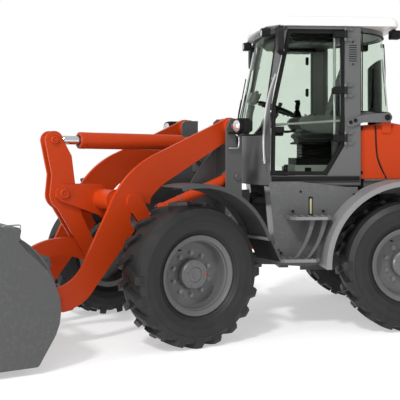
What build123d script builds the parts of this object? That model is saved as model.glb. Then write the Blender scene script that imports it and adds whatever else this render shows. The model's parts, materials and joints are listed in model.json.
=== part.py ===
from build123d import *
from math import atan2, cos, degrees, hypot, radians, sin
import os

os.makedirs("parts", exist_ok=True)

# An articulated wheel loader with a Z-bar arm. All sizes are in mm and degrees.
# X points forward, Y to the left, Z up from the ground. The upright articulation
# axis stands at X = Y = 0 while the machine is modelled, with both halves in line.

# ---- driving dimensions ------------------------------------------------------------
wheel_base = 2640
track = 1800
steer_at_rest = 26            # the front half is turned this far to the left
running_gap = 0.3             # clearance of pins, shafts and seated curved faces

tyre_r = 638.5
tyre_w = 394
lug_depth = 34
lug_count = 20
rim_flange_r = 352
rim_half_w = 155
bead_r = 325
disc_face = 12                # the wheel disc's outer face, from the wheel's middle
hub_r = 132
stud_circle_r = 186
hub_reach = 98
spindle_r = 45

axle_z = tyre_r
axle_x = wheel_base / 2
axle_end = 795                # where each axle casing stops, short of the wheel hub

# front half
tower_out, tower_in = 528, 325    # outer and inner faces of each pair of tower plates
tower_t = 25
tower_back, tower_front = 510, 686
tower_top = 2032
hinge_pin_r = 40
hinge_lugs = (1200, 560)      # heights of the upper and lower articulation lugs
hinge_lug_t = 60
trunnion_r, trunnion_z = 110, 800
arm_y = 430                   # middle plane of each boom arm
arm_t = 40
ear_in, ear_t = 75, 30        # boom ears that carry the bell crank
crank_gap, crank_t = 46, 25   # the crank's plates: half the gap between them, thickness
crank_pin_r, link_pin_r = 36, 30

# linkage pivots, as (X, Z) with the halves in line
boom_pivot = (597, 1960)
lift_base = (563, 1469)
lift_eye = (1545, 1106)
tilt_base = (800, 1800)
tilt_eye = (2270, 1828)
crank_pivot = (2185, 1333)
crank_foot = (1892, 760)
link_eye = (2530, 750)
bucket_pivot = (2465, 435)
cross_tube = (1810, 1278)

# steering cylinders, as (X, Y) of the base on the yoke and the eye on the front frame
steer_base = (-300, 230)
steer_eye = (420, 200)
steer_z = 760

# bucket
bucket_w = 2300
bucket_floor = 62
bucket_lip = 3800
bucket_crown = 3330          # the front upper corner of each side plate
plate_t = 16

# rear half
beam_in, beam_out = 300, 330
tank_out = 790
tank_in = 470
fender_r = 800
beam_end = -2600 - running_gap
hood_foot_z = 1444
rail_top = hood_foot_z - running_gap
fender_in, fender_out = 730, 1100
cab_w = 750                   # half width over the doors
cab_wall = 40
cab_floor = 1385
sill_low, sill_high = 1427, 1476
cab_waist = 1860
cab_shelf = 2030
cab_top = 2940
cab_back = -940
roof_h = 132
cab_nose, cab_corner = 184, -52
hood_w = 720
hood_t = 6
hood_hinge = (-1204, 2051)
engine_z = 900
door_hinge = (-786, 772)
hinge_heights = (2862, 2313, 1848)
hinge_wire_r = 7               # the door hinges' pins
tow_pin, tow_pin_r = (-2725, 0), 20
tow_span = (560, 800)         # heights of the tow jaw's lowest and highest faces
stack_at, stack_r = (-1440, -420), 82


# ---- shared forms ------------------------------------------------------------------
def outline_plate(outline, y_from, y_to, corner=0, mode=Mode.ADD):
    """Extrudes a closed (X, Z) outline between two Y planes."""
    with BuildSketch(Plane.XZ.offset(-y_from)) as profile:
        with BuildLine():
            Polyline(*outline, close=True)
        make_face()
        if corner:
            fillet(profile.vertices(), corner)
    extrude(profile.sketch, amount=-(y_to - y_from), mode=mode)


def floor_plate(outline, z_from, z_to, corner=0, mode=Mode.ADD):
    """Extrudes a closed (X, Y) outline between two heights."""
    with BuildSketch(Plane.XY.offset(z_from)) as profile:
        with BuildLine():
            Polyline(*outline, close=True)
        make_face()
        if corner:
            fillet(profile.vertices(), corner)
    extrude(profile.sketch, amount=z_to - z_from, mode=mode)


def block(x, y, z, mode=Mode.ADD):
    """A box given by its (low, high) along each axis."""
    with Locations(((x[0] + x[1]) / 2, (y[0] + y[1]) / 2, (z[0] + z[1]) / 2)):
        Box(abs(x[1] - x[0]), abs(y[1] - y[0]), abs(z[1] - z[0]), mode=mode)


def rod_y(centre, r, y_from, y_to, mode=Mode.ADD):
    """A round bar along Y through an (X, Z) centre."""
    with BuildSketch(Plane.XZ.offset(-y_from)) as profile:
        with Locations(centre):
            Circle(r)
    extrude(profile.sketch, amount=-(y_to - y_from), mode=mode)


def rod_z(centre, r, z_from, z_to, mode=Mode.ADD):
    """A round bar along Z through an (X, Y) centre."""
    with BuildSketch(Plane.XY.offset(z_from)) as profile:
        with Locations(centre):
            Circle(r)
    extrude(profile.sketch, amount=z_to - z_from, mode=mode)


def rod_x(centre, r, x_from, x_to, mode=Mode.ADD):
    """A round bar along X through a (Y, Z) centre."""
    with BuildSketch(Plane.YZ.offset(x_from)) as profile:
        with Locations(centre):
            Circle(r)
    extrude(profile.sketch, amount=x_to - x_from, mode=mode)


def turned(outline, plane):
    """Revolves a closed (along, radius) outline about the plane's X axis."""
    with BuildSketch(plane) as profile:
        with BuildLine():
            Polyline(*outline, close=True)
        make_face()
    revolve(profile.sketch, axis=Axis(plane.origin, plane.x_dir))


def linkage_plane(start, end, y):
    """A plane on an (X, Z) pivot whose X axis runs to the other pivot."""
    run = (end[0] - start[0], 0, end[1] - start[1])
    return Plane(origin=(start[0], y, start[1]), x_dir=run, z_dir=(0, -1, 0))


def span(start, end):
    return hypot(end[0] - start[0], end[1] - start[1])


def barrel_profile(length, r, bore, gland_bore, neck=80):
    """Half section of a cylinder barrel, from its base weld to its gland."""
    wall_end, gland = length - 60, r + 8
    return [
        (38, 0), (38, 0.62 * r), (neck - 8, 0.62 * r), (neck, r), (wall_end, r), (wall_end, gland), (length, gland),
        (length, gland_bore), (wall_end, gland_bore), (wall_end, bore), (90, bore), (90, 0),
    ]


pieces = {}                   # node name -> (its part, whether it is in the front half)


def keep(name, builder, front=False):
    pieces[name] = (builder.part, front)


# ---- wheels ------------------------------------------------------------------------
tread_r = tyre_r - lug_depth
half_tyre = tyre_w / 2
with BuildPart() as tyre:
    with BuildSketch(Plane.XY):       # X is the radius, Y the axle
        with BuildLine():
            Polyline(
                (bead_r, 144), (rim_flange_r + 8, 144), (405, 182), (470, half_tyre),
                (540, half_tyre - 4), (588, 168), (tread_r, 110),
                (tread_r, -110), (588, -168), (540, 4 - half_tyre), (470, -half_tyre),
                (405, -182), (rim_flange_r + 8, -144), (bead_r, -144), close=True,
            )
        make_face()
    revolve(axis=Axis.Y)

# each lug: (distance from the middle plane, distance round the tread)
lug_outline = [(-6, 66), (-6, 124), (80, 88), (192, 40), (192, -46), (70, 8)]
lug_foot_r = 545
with BuildPart() as lugs:
    for hand, phase in ((1, 0), (-1, 0.5)):
        for count in range(lug_count):
            turn = radians(360 * (count + phase) / lug_count)
            outward = Vector(cos(turn), 0, sin(turn))
            foot = Plane(origin=outward * lug_foot_r, x_dir=(0, 1, 0), z_dir=outward)
            with BuildSketch(foot):
                with BuildLine():
                    Polyline(*[(hand * out, along) for out, along in lug_outline], close=True)
                make_face()
            extrude(amount=tyre_r - lug_foot_r + 12, taper=6)
    with BuildSketch(Plane.XY):
        with BuildLine():
            Polyline(
                (lug_foot_r - 30, -half_tyre + 6), (lug_foot_r - 30, half_tyre - 6),
                (600, half_tyre - 14), (tyre_r - 5, 168), (tyre_r, 120),
                (tyre_r, -120), (tyre_r - 5, -168), (600, 14 - half_tyre), close=True,
            )
        make_face()
    revolve(axis=Axis.Y, mode=Mode.INTERSECT)

with BuildPart() as tyre_with_lugs:
    add(tyre.part)
    add(lugs.part)

with BuildPart() as rim:
    with BuildSketch(Plane.XY):
        with BuildLine():
            Polyline(
                (300, -rim_half_w), (rim_flange_r, -rim_half_w), (rim_flange_r, -145),
                (bead_r - running_gap, -145), (bead_r - running_gap, 145),
                (rim_flange_r, 145), (rim_flange_r, rim_half_w), (336, rim_half_w),
                (330, 150), (312, 141), (307, 112), (299, 108), (296, 46),
                (284, disc_face), (hub_r, disc_face), (hub_r, hub_reach - 12),
                (hub_r - 14, hub_reach), (spindle_r + 25, hub_reach), (spindle_r + 22, hub_reach - 8),
                (0, hub_reach - 8), (0, -40), (spindle_r + running_gap, -40),
                (spindle_r + running_gap, -100), (130, -100), (130, disc_face - 22),
                (280, disc_face - 22), (286, -60), close=True,
            )
        make_face()
    revolve(axis=Axis.Y)
    with BuildSketch(Plane.XZ.offset(-disc_face)):    # wheel studs
        with PolarLocations(stud_circle_r, 10, start_angle=18):
            RegularPolygon(13, 6)
    extrude(amount=-18)

wheels = (
    ("front_left", 1, 1), ("front_right", 1, -1), ("rear_left", -1, 1), ("rear_right", -1, -1),
)
for place, end, side in wheels:
    seat = Plane(
        origin=(end * axle_x, side * track / 2, axle_z), x_dir=(side, 0, 0), z_dir=(0, 0, 1)
    )
    with BuildPart() as tyre_here:
        add(tyre_with_lugs.part.moved(seat.location))
    keep("tyre_" + place, tyre_here, end > 0)
    with BuildPart() as rim_here:
        add(rim.part.moved(seat.location))
    keep("rim_" + place, rim_here, end > 0)


# ---- axles -------------------------------------------------------------------------
axle_profile = [                      # (along the axle, radius) of one half
    (0, 0), (0, 190), (90, 180), (150, 120), (300, 95), (640, 88), (700, 120),
    (axle_end, 120), (axle_end, spindle_r), (track / 2 - 46, spindle_r), (track / 2 - 46, 0),
]
for name, x, front in (("front_axle", axle_x, True), ("rear_axle", -axle_x, False)):
    with BuildPart() as axle:
        for side in (1, -1):
            turned(axle_profile, Plane(origin=(x, 0, axle_z), x_dir=(0, side, 0), z_dir=(1, 0, 0)))
        nose = (x - 330, x) if front else (x, x + 330)
        rod_x((0, axle_z), 105, *nose)
        for side in (1, -1):
            block((x - 90, x + 90), (side * 250, side * 345), (axle_z + 60, 800))
    keep(name, axle, front)


# ---- front frame -------------------------------------------------------------------
frame_side = [
    (280, 470), (980, 470), (1120, 800), (1540, 800), (1590, 900), (1500, 1010), (1120, 1180),
    (868, 1556), (700, 1740), (700, 2000), (660, tower_top), (tower_back, tower_top),
    (tower_back, 1500), (420, 1330), (280, 1330),
]
tower_side = [
    (tower_back, 1000), (tower_front, 1000), (tower_front, 1940), (640, tower_top),
    (tower_back, tower_top),
]
with BuildPart() as front_frame:
    for side in (1, -1):
        outline_plate(frame_side, side * (tower_in - tower_t), side * tower_in)
        outline_plate(tower_side, side * (tower_out - tower_t), side * tower_out)
        block((tower_back, tower_front), (side * tower_in, side * (tower_out - tower_t)), (1000, 1060))
        rod_y(boom_pivot, 42, side * tower_in, side * (tower_out + 14))
        rod_y(lift_base, 32, side * tower_in, side * (tower_out + 10))
        rod_y(lift_base, 60, side * tower_in, side * (tower_in + 40))
    inside = tower_in - tower_t
    block((470, 500), (-inside, inside), (480, 1500))
    block((280, 980), (-inside, inside), (470, 494))
    block((1120, 1500), (-inside, inside), (985, 1010))
    for z in hinge_lugs:
        for level in (z - hinge_lug_t / 2 - 35.5, z + hinge_lug_t / 2 + 0.5):
            floor_plate([(480, -inside), (300, -inside), (100, -130), (0, -85), (0, 85), (100, 130),
                         (300, inside), (480, inside)], level, level + 35)
            rod_z((0, 0), 85, level, level + 35)
        rod_z((0, 0), hinge_pin_r, z - hinge_lug_t / 2 - 36, z + hinge_lug_t / 2 + 50)
    for side in (1, -1):                         # cheeks that hold the tilt cylinder
        with BuildSketch(Plane.XZ.offset(-side * 54)):
            with Locations(tilt_base):
                Circle(56)
            with Locations((560, 1560), (620, 1560), (560, 1700)):
                Circle(20)
            make_hull()
        extrude(amount=-side * 25)
    rod_y(tilt_base, 30, -86, 86)
    block((540, 575), (-inside, inside), (1500, 1730))
    for side in (1, -1):                         # brackets for the steering rods, and a window behind
        for level in (steer_z - 60, steer_z + 30):
            block((370, 471), (side * 150, side * inside), (level, level + 30))
        block((460, 510), (side * 110, side * 290), (steer_z - 30, steer_z + 30), mode=Mode.SUBTRACT)
keep("front_frame", front_frame, True)


def fender_strip(centre, r_in, r_out, y_from, y_to, start, sweep_angle, mode=Mode.ADD):
    """A strip bent round a wheel, between two radii and two Y planes."""
    with BuildSketch(Plane.XZ.offset(-y_from)) as strip:
        with BuildLine():
            CenterArc(centre, r_out, start, sweep_angle)
            CenterArc(centre, r_in, start, sweep_angle)
            for a in (radians(start), radians(start + sweep_angle)):
                Line((centre[0] + r_in * cos(a), centre[1] + r_in * sin(a)),
                     (centre[0] + r_out * cos(a), centre[1] + r_out * sin(a)))
        make_face()
    extrude(strip.sketch, amount=-(y_to - y_from), mode=mode)


with BuildPart() as front_fenders:
    centre = (axle_x, axle_z)
    for side in (1, -1):
        fender_strip(centre, fender_r - 7, fender_r, side * (fender_in + 10), side * fender_out, 76, 84)
        fender_strip(centre, fender_r - 34, fender_r, side * (fender_out - 7), side * fender_out, 76, 84)
        fender_strip(centre, fender_r - 60, fender_r, side * (fender_in + 10), side * (fender_in + 17), 84, 76)
        block((600, 684), (side * (tower_out + running_gap), side * (fender_in + 30)), (1004, 1022))
        rod_y((588, 918), 13, side * (fender_in + 10), side * fender_out)
        flap = [(576, 916), (466, 708), (474, 704), (584, 912)]
        outline_plate(flap, side * (fender_in + 4), side * (fender_out + 8))
keep("front_fenders", front_fenders, True)

with BuildPart() as head_lamps:
    for side in (1, -1):
        outline_plate([(548, 1884), (668, 1884), (668, 1904), (548, 1904)],
                      side * (tower_out + running_gap), side * 700)
        outline_plate([(548, 1796), (572, 1796), (572, 1884), (548, 1884)],
                      side * (tower_out + running_gap), side * (tower_out + 22))
        with BuildSketch(Plane.YZ.offset(566)) as housing:
            with Locations((side * 680, 1962)):
                RectangleRounded(140, 148, 38)
        extrude(amount=74)
        with BuildSketch(Plane.YZ.offset(566)) as housing_back:
            with Locations((side * 680, 1962)):
                RectangleRounded(140, 148, 38)
        extrude(amount=-44, taper=28)
        block((590, 630), (side * 665, side * 695), (1890, 1904))
        rod_x((side * 680, 1962), 66, 634, 676)
        with BuildSketch(Plane.YZ.offset(668)) as lens_seat:
            with Locations((side * 680, 1962)):
                Circle(60 + running_gap)
        extrude(amount=20, mode=Mode.SUBTRACT)
keep("head_lamps", head_lamps, True)

with BuildPart() as lamp_lenses:
    for side in (1, -1):
        with BuildSketch(Plane.YZ.offset(668 + running_gap)) as lens:
            with Locations((side * 680, 1962)):
                Circle(60)
        extrude(amount=10)
        fillet(lamp_lenses.edges().group_by(Axis.X)[-1], 6)
keep("lamp_lenses", lamp_lenses, True)


# ---- boom --------------------------------------------------------------------------
with BuildPart() as boom:
    for side in (1, -1):
        inner, outer = side * (arm_y - arm_t / 2), side * (arm_y + arm_t / 2)
        with BuildSketch(Plane.XZ.offset(-inner)):
            with BuildLine():
                Line((640, 2034), (1390, 1706))
                ThreePointArc((1390, 1706), (1705, 1500), (1905, 1190))
                Line((1905, 1190), (2135, 742))
                ThreePointArc((2135, 742), (2220, 620), (2360, 540))
                Line((2360, 540), (2480, 528))
                ThreePointArc((2480, 528), (2556, 420), (2440, 345))
                Line((2440, 345), (2340, 318))
                Line((2340, 318), (2252, 330))
                Line((2252, 330), (2236, 346))
                ThreePointArc((2236, 346), (2124, 408), (2040, 500))
                Line((2040, 500), (1612, 1032))
                Line((1612, 1032), (1570, 1030))
                ThreePointArc((1570, 1030), (1478, 1062), (1490, 1170))
                Line((1490, 1170), (1475, 1290))
                ThreePointArc((1475, 1290), (1380, 1384), (1262, 1462))
                Line((1262, 1462), (620, 1824))
                ThreePointArc((620, 1824), (500, 1945), (640, 2034))
            make_face()
        extrude(amount=-side * arm_t)
        rod_y(boom_pivot, 80, side * (tower_in + 3), side * (tower_out - tower_t - 3))
        rod_y(bucket_pivot, 70, side * (arm_y - 34), side * (arm_y + 34))
    for side in (1, -1):
        rod_y(boom_pivot, 42 + running_gap, side * 300, side * 520, mode=Mode.SUBTRACT)
        rod_y(bucket_pivot, 32 + running_gap, side * 380, side * 480, mode=Mode.SUBTRACT)
        rod_y(lift_eye, 140, side * (arm_y - arm_t), side * (arm_y + arm_t), mode=Mode.SUBTRACT)
    for side in (1, -1):                          # ears for the lift rods
        for y in (arm_y - arm_t / 2 - 26, arm_y + arm_t / 2):
            with BuildSketch(Plane.XZ.offset(-side * y)):
                with Locations(lift_eye):
                    Circle(62)
                with Locations((1650, 1265)):
                    Circle(78)
                make_hull()
            extrude(amount=-side * 26)
    rod_y(cross_tube, 92, -(arm_y - arm_t / 2), arm_y - arm_t / 2)
    for side in (1, -1):                          # ears that carry the bell crank
        ear = [(2185, 1418), (1800, 1410), (1700, 1300), (1760, 1120), (1830, 1122), (2215, 1262),
               (2262, 1300), (2262, 1370)]
        outline_plate(ear, side * ear_in, side * (ear_in + ear_t), corner=12)
    rod_y(crank_pivot, crank_pin_r + running_gap, -120, 120, mode=Mode.SUBTRACT)
keep("boom", boom, True)


# ---- lift cylinders ----------------------------------------------------------------
lift_len = span(lift_base, lift_eye)
for side, hand in ((1, "left"), (-1, "right")):
    along = linkage_plane(lift_base, lift_eye, side * arm_y)
    with BuildPart() as lift_barrel:
        turned(barrel_profile(880, 54, 42, 31 + running_gap), along)
        rod_y(lift_base, 70, side * (arm_y - 48), side * (arm_y + 48))
        rod_y(lift_base, 32 + running_gap, side * (arm_y - 60), side * (arm_y + 60), mode=Mode.SUBTRACT)
    keep("lift_barrel_" + hand, lift_barrel, True)
    with BuildPart() as lift_rod:
        turned([(190, 0), (190, 31), (lift_len - 150, 31), (lift_len - 132, 15),
                (lift_len, 15), (lift_len, 0)], along)
        rod_y(lift_eye, 42, side * (arm_y - 15), side * (arm_y + 15))
    keep("lift_rod_" + hand, lift_rod, True)


# ---- tilt cylinder, bell crank and link --------------------------------------------
tilt_len = span(tilt_base, tilt_eye)
along = linkage_plane(tilt_base, tilt_eye, 0)
with BuildPart() as tilt_barrel:
    turned(barrel_profile(1200, 68, 54, 41 + running_gap), along)
    rod_y(tilt_base, 62, -50, 50)
    rod_y(tilt_base, 30 + running_gap, -60, 60, mode=Mode.SUBTRACT)
keep("tilt_barrel", tilt_barrel, True)
with BuildPart() as tilt_rod:
    turned([(300, 0), (300, 41), (tilt_len - 110, 41), (tilt_len - 85, 24), (tilt_len, 24), (tilt_len, 0)],
           along)
    rod_y(tilt_eye, 50, -(crank_gap - 5), crank_gap - 5)
keep("tilt_rod", tilt_rod, True)

with BuildPart() as bell_crank:
    for side in (1, -1):
        with BuildSketch(Plane.XZ.offset(-side * crank_gap)):
            with BuildLine():
                ThreePointArc((2185, 1832), (2285, 1908), (2355, 1815))
                Line((2355, 1815), (2292, 1510))
                ThreePointArc((2292, 1510), (2300, 1420), (2310, 1330))
                ThreePointArc((2310, 1330), (2290, 1250), (2240, 1200))
                Line((2240, 1200), (1962, 742))
                ThreePointArc((1962, 742), (1885, 690), (1828, 790))
                Line((1828, 790), (1998, 1126))
                Line((1998, 1126), (2062, 1400))
                Line((2062, 1400), (2100, 1680))
                Line((2100, 1680), (2185, 1832))
            make_face()
        extrude(amount=-side * crank_t)
        rod_y(tilt_eye, 34, side * crank_gap, side * (crank_gap + crank_t + 13))
    rod_y(crank_pivot, 74, -(ear_in - 3), ear_in - 3)
    rod_y(crank_pivot, crank_pin_r + running_gap, -ear_in, ear_in, mode=Mode.SUBTRACT)
    rod_y(crank_foot, link_pin_r + running_gap, -ear_in - 20, ear_in + 20, mode=Mode.SUBTRACT)
keep("bell_crank", bell_crank, True)

with BuildPart() as tilt_link:
    with BuildSketch(Plane.XZ.offset(27)):
        with BuildLine():
            ThreePointArc((1862, 835), (2220, 918), (2545, 804))
            ThreePointArc((2545, 804), (2585, 742), (2515, 698))
            ThreePointArc((2515, 698), (2230, 762), (1940, 690))
            ThreePointArc((1940, 690), (1826, 725), (1862, 835))
        make_face()
    extrude(amount=-54)
    rod_y(crank_foot, 54, -(crank_gap - 4), crank_gap - 4)
    rod_y(crank_foot, link_pin_r + running_gap, -crank_gap, crank_gap, mode=Mode.SUBTRACT)
keep("tilt_link", tilt_link, True)

with BuildPart() as crank_pin:
    rod_y(crank_pivot, crank_pin_r, -(ear_in + ear_t + 8), ear_in + ear_t + 8)
keep("crank_pin", crank_pin, True)
with BuildPart() as link_pin:
    rod_y(crank_foot, link_pin_r, -(crank_gap + crank_t + 7), crank_gap + crank_t + 7)
keep("link_pin", link_pin, True)
with BuildPart() as bucket_pins:
    for side in (1, -1):
        rod_y(bucket_pivot, 32, side * (arm_y - 66), side * (arm_y + 66))
keep("bucket_pins", bucket_pins, True)


# ---- quick coupler and bucket ------------------------------------------------------
hook = (2522, 754)
coupler_side = [(2420, 360), (2560, 340), (2620, 420), (2600, 700), (2570, 830), (2480, 820), (2470, 640),
                (2395, 500)]
with BuildPart() as quick_coupler:
    for side in (1, -1):
        for y in (arm_y - 60, arm_y + 36):
            outline_plate(coupler_side, side * y, side * (y + 24), corner=14)
        rod_y(hook, 36, side * 62, side * (arm_y + 90))
        outline_plate([(2470, 690), (2600, 640), (2610, 830), (2490, 830)], side * 34, side * 62, corner=14)
    for side in (1, -1):
        block((2596, 2620), (side * 64, side * (arm_y - 59)), (430, 640))
    block((2596, 2620), (-70, 70), (430, 540))
    for side in (1, -1):
        rod_y(bucket_pivot, 32 + running_gap, side * 340, side * 520, mode=Mode.SUBTRACT)
keep("quick_coupler", quick_coupler, True)

with BuildPart() as bucket:
    half = bucket_w / 2
    mouth = bucket_lip - bucket_crown
    for grow, mode, y in ((0, Mode.ADD, half - plate_t), (plate_t, Mode.SUBTRACT, half)):
        with BuildSketch(Plane.XZ.offset(y)):
            with BuildLine():
                Line((2984 + grow, 1148), (2966 + grow, 1060))
                ThreePointArc((2966 + grow, 1060), (2665 + grow, 620), (2690 + grow, 290))
                Line((2690 + grow, 290), (2830 + 0.6 * grow, bucket_floor + grow))
                Line((2830 + 0.6 * grow, bucket_floor + grow), (bucket_lip, bucket_floor + grow))
                Line((bucket_lip, bucket_floor + grow), (bucket_lip, 1400))
                Line((bucket_lip, 1400), (2984 + grow, 1400))
                Line((2984 + grow, 1400), (2984 + grow, 1148))
            make_face()
        extrude(amount=-2 * y, mode=mode)
    clear = half + 100
    outline_plate([(2900, 1148), (2900, 1500), (bucket_lip + 200, 1500), (bucket_lip + 200, 40),
                   (bucket_lip, 40), (bucket_lip, 90), (bucket_lip - 40, 200),
                   (bucket_crown + mouth * 17 / 47, 800), (bucket_crown, 1148)], -clear, clear, mode=Mode.SUBTRACT)
    side_plate = [(2984, 1148), (2966, 1126), (2984, 1035), (2933, 978), (2750, 800), (2695, 703),
                  (2652, 590), (2641, 478), (2652, 380), (2684, 294), (2820, 72), (2836, bucket_floor),
                  (bucket_lip - 40, bucket_floor), (bucket_lip - 30, 130),
                  (bucket_crown + mouth * 9 / 47, 900), (bucket_crown, 1158), (3134, 1160)]
    for side in (1, -1):
        outline_plate(side_plate, side * (half - plate_t), side * half)
    for side in (1, -1):                          # hooks that hang on the coupler's bar
        for y in (arm_y + 64,):
            outline_plate([(2800, 860), (2560, 842), (2492, 790), (2490, 720), (2560, 690), (2700, 660)],
                          side * y, side * (y + 24), corner=20)
    for side in (1, -1):
        rod_y(hook, 36 + running_gap, side * 480, side * 530, mode=Mode.SUBTRACT)
    block((bucket_lip - 190, bucket_lip + 40), (-half, half), (bucket_floor - 18, bucket_floor))
keep("bucket", bucket, True)


# ---- articulation yoke and steering cylinders --------------------------------------
with BuildPart() as hinge_yoke:
    block((-340, -240), (-150, 150), (500, 1320))
    for z in hinge_lugs:
        floor_plate([(-241, -140), (0, -80), (0, 80), (-241, 140)], z - hinge_lug_t / 2, z + hinge_lug_t / 2)
        rod_z((0, 0), 80, z - hinge_lug_t / 2, z + hinge_lug_t / 2)
    rod_x((0, trunnion_z), trunnion_r, -900, -339)
    for side in (1, -1):
        for level in (steer_z - 62, steer_z + 42):
            block((-345, -255), (side * 149, side * 275), (level, level + 20))
        rod_z((steer_base[0], side * steer_base[1]), 28, steer_z - 60, steer_z + 60)
    for z in hinge_lugs:
        rod_z((0, 0), hinge_pin_r + running_gap, z - 60, z + 60, mode=Mode.SUBTRACT)
keep("hinge_yoke", hinge_yoke)

for side, hand in ((1, "left"), (-1, "right")):
    start = (steer_base[0], side * steer_base[1])
    c, s = cos(radians(steer_at_rest)), sin(radians(steer_at_rest))
    end = (steer_eye[0] * c - side * steer_eye[1] * s, steer_eye[0] * s + side * steer_eye[1] * c)
    run = (end[0] - start[0], end[1] - start[1], 0)
    along = Plane(origin=(*start, steer_z), x_dir=run, z_dir=(0, 0, 1))
    with BuildPart() as steer_barrel:
        turned(barrel_profile(430, 36, 28, 20 + running_gap), along)
        rod_z(start, 48, steer_z - 40, steer_z + 40)
        rod_z(start, 28 + running_gap, steer_z - 50, steer_z + 50, mode=Mode.SUBTRACT)
    keep("steer_barrel_" + hand, steer_barrel)
    with BuildPart() as steer_rod:
        reach = hypot(run[0], run[1])
        turned([(reach - 430, 0), (reach - 430, 20), (reach, 20), (reach, 0)], along)
        rod_z(end, 40, steer_z - 28, steer_z + 28)
    keep("steer_rod_" + hand, steer_rod)


# ---- rear frame --------------------------------------------------------------------
beam_side = [
    (-430, 500), (-430, 1340), (-900, 1340), (-980, 1180), (-2600, 1180), (-2600, 800),
    (-1100, 800), (-930, 800), (-860, 500),
]
with BuildPart() as rear_frame:
    for side in (1, -1):
        outline_plate(beam_side, side * beam_in, side * beam_out)
        block((-700, -520), (side * beam_out, side * tank_in), (900, 960))
        block((-700, -520), (side * beam_out, side * tank_in), (1240, 1300))
        outline_plate([(-985, 1300), (-985, rail_top), (-2560, rail_top), (-2560, 1300)],
                      side * 690, side * 700)
        block((-2090, -985), (side * 690, side * 726), (rail_top - 16, rail_top))
        for x in (-1100, -2500):
            block((x, x + 60), (side * beam_in, side * 691), (1310, 1350))
            block((x, x + 60), (side * beam_in, side * beam_out), (1150, 1350))
    for x in (-460, -860):
        block((x, x + 30), (-beam_in, beam_in), (560, 1340))
    block((-2600, -2560), (-beam_in, beam_in), (800, 1180))
    for x in (-1530, -2290):                      # engine mounts
        block((x, x + 60), (-beam_in, beam_in), (engine_z - 50, engine_z - running_gap))
    for x in (-460, -860):
        rod_x((0, trunnion_z), trunnion_r + running_gap, x - 5, x + 35, mode=Mode.SUBTRACT)
keep("rear_frame", rear_frame)

tank_top = cab_floor - 15
with BuildPart() as side_tanks:
    for side in (1, -1):
        outline_plate([(-30, tank_top), (-100, 620), (-400, 600), (-900, 700), (-900, tank_top)],
                      side * tank_in, side * tank_out)
        outline_plate([(-30, tank_top - 1), (-30, sill_low - 3), (-330, sill_low - 3), (-800, tank_top - 1)],
                      side * (cab_w + 3), side * tank_out)
        rod_y((-axle_x, axle_z), fender_r + running_gap, side * 690, side * 1200, mode=Mode.SUBTRACT)
        rod_y((-axle_x, axle_z), 760, side * 400, side * 700, mode=Mode.SUBTRACT)
keep("side_tanks", side_tanks)

with BuildPart() as rear_fenders:
    centre = (-axle_x, axle_z)
    for side in (1, -1):
        fender_strip(centre, fender_r - 7, fender_r, side * fender_in, side * fender_out, -2, 152)
        fender_strip(centre, fender_r - 48, fender_r, side * (fender_out - 7), side * fender_out, -2, 152)
        fender_strip(centre, fender_r - 60, fender_r, side * fender_in, side * (fender_in + 7), 10, 120)
        for y in (840, 890, 940):                 # drain slots over the front of the wheel
            fender_strip(centre, fender_r - 12, fender_r + 5, side * y, side * (y + 13), 58, 21,
                         mode=Mode.SUBTRACT)
keep("rear_fenders", rear_fenders)

with BuildPart() as steps:
    for side in (1, -1):
        for x_back, z in ((-611, 1071), (-495, 670)):
            tread = [(x_back, side * (tank_out + running_gap)), (x_back + 14, side * 960),
                     (x_back + 60, side * 1004), (x_back + 360, side * 1004),
                     (x_back + 408, side * 960), (x_back + 423, side * (tank_out + running_gap))]
            floor_plate(tread, z, z + 26)
            with BuildSketch(Plane.XY.offset(z + 12)):
                with Locations((x_back + 212, side * 888)):
                    with GridLocations(66, 60, 5, 2):
                        SlotOverall(52, 30)
            extrude(amount=30, mode=Mode.SUBTRACT)
            for x in (x_back + 30, x_back + 330):
                block((x, x + 56), (side * (tank_out + running_gap), side * (tank_out + 9)), (z + 10, z + 92))
                rod_y((x + 28, z + 68), 9, side * (tank_out + 8), side * (tank_out + 18))
        for shift in (0, 120):                    # straps down to the lower step
            with BuildSketch(Plane.XZ.offset(-side * 930)):
                with BuildLine():
                    ThreePointArc((-560 + shift, 1072), (-490 + shift, 860), (-380 + shift, 695))
                    Line((-380 + shift, 695), (-346 + shift, 695))
                    ThreePointArc((-346 + shift, 695), (-450 + shift, 850), (-514 + shift, 1072))
                    Line((-514 + shift, 1072), (-560 + shift, 1072))
                make_face()
            extrude(amount=-side * 22)
keep("steps", steps)

with BuildPart() as counterweight:
    with BuildSketch(Plane.XY.offset(560)) as plan:
        with BuildLine():
            Polyline((beam_end, -760), (beam_end, 760), (-2700, 760), (-2790, 560), (-2790, -560),
                     (-2700, -760), close=True)
        make_face()
    extrude(amount=690)
    floor_plate([(-2700, 500), (-2900, 500), (-2900, 800), (-2700, 800)], 1120, 1300, mode=Mode.SUBTRACT)
    floor_plate([(-2700, -500), (-2900, -500), (-2900, -800), (-2700, -800)], 1120, 1300,
                mode=Mode.SUBTRACT)
    for side in (1, -1):
        block((beam_end - 1, -2250), (side * 420, side * 690), (820, 1090))
    block((tow_pin[0] - 60, -2900), (-70, 70), (tow_span[0] + 80, tow_span[1] - 50), mode=Mode.SUBTRACT)
    block((tow_pin[0] - 60, -2900), (-70, 70), (tow_span[1], 1020), mode=Mode.SUBTRACT)
    block((tow_pin[0] + 60, tow_pin[0] - 60), (-70, 70), (tow_span[1], 1020), mode=Mode.SUBTRACT)
    block((tow_pin[0] + 60, tow_pin[0] - 60), (-70, 70), (tow_span[0] + 80, tow_span[1] - 50),
          mode=Mode.SUBTRACT)
    rod_z(tow_pin, tow_pin_r, 500, 900, mode=Mode.SUBTRACT)
keep("counterweight", counterweight)

with BuildPart() as tail_lamps:
    for side in (1, -1):
        with BuildSketch(Plane.YZ.offset(-2700 - running_gap)):
            with Locations((side * 640, 1182)):
                RectangleRounded(170, 70, 20)
        extrude(amount=-36)
keep("tail_lamps", tail_lamps)

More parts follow.
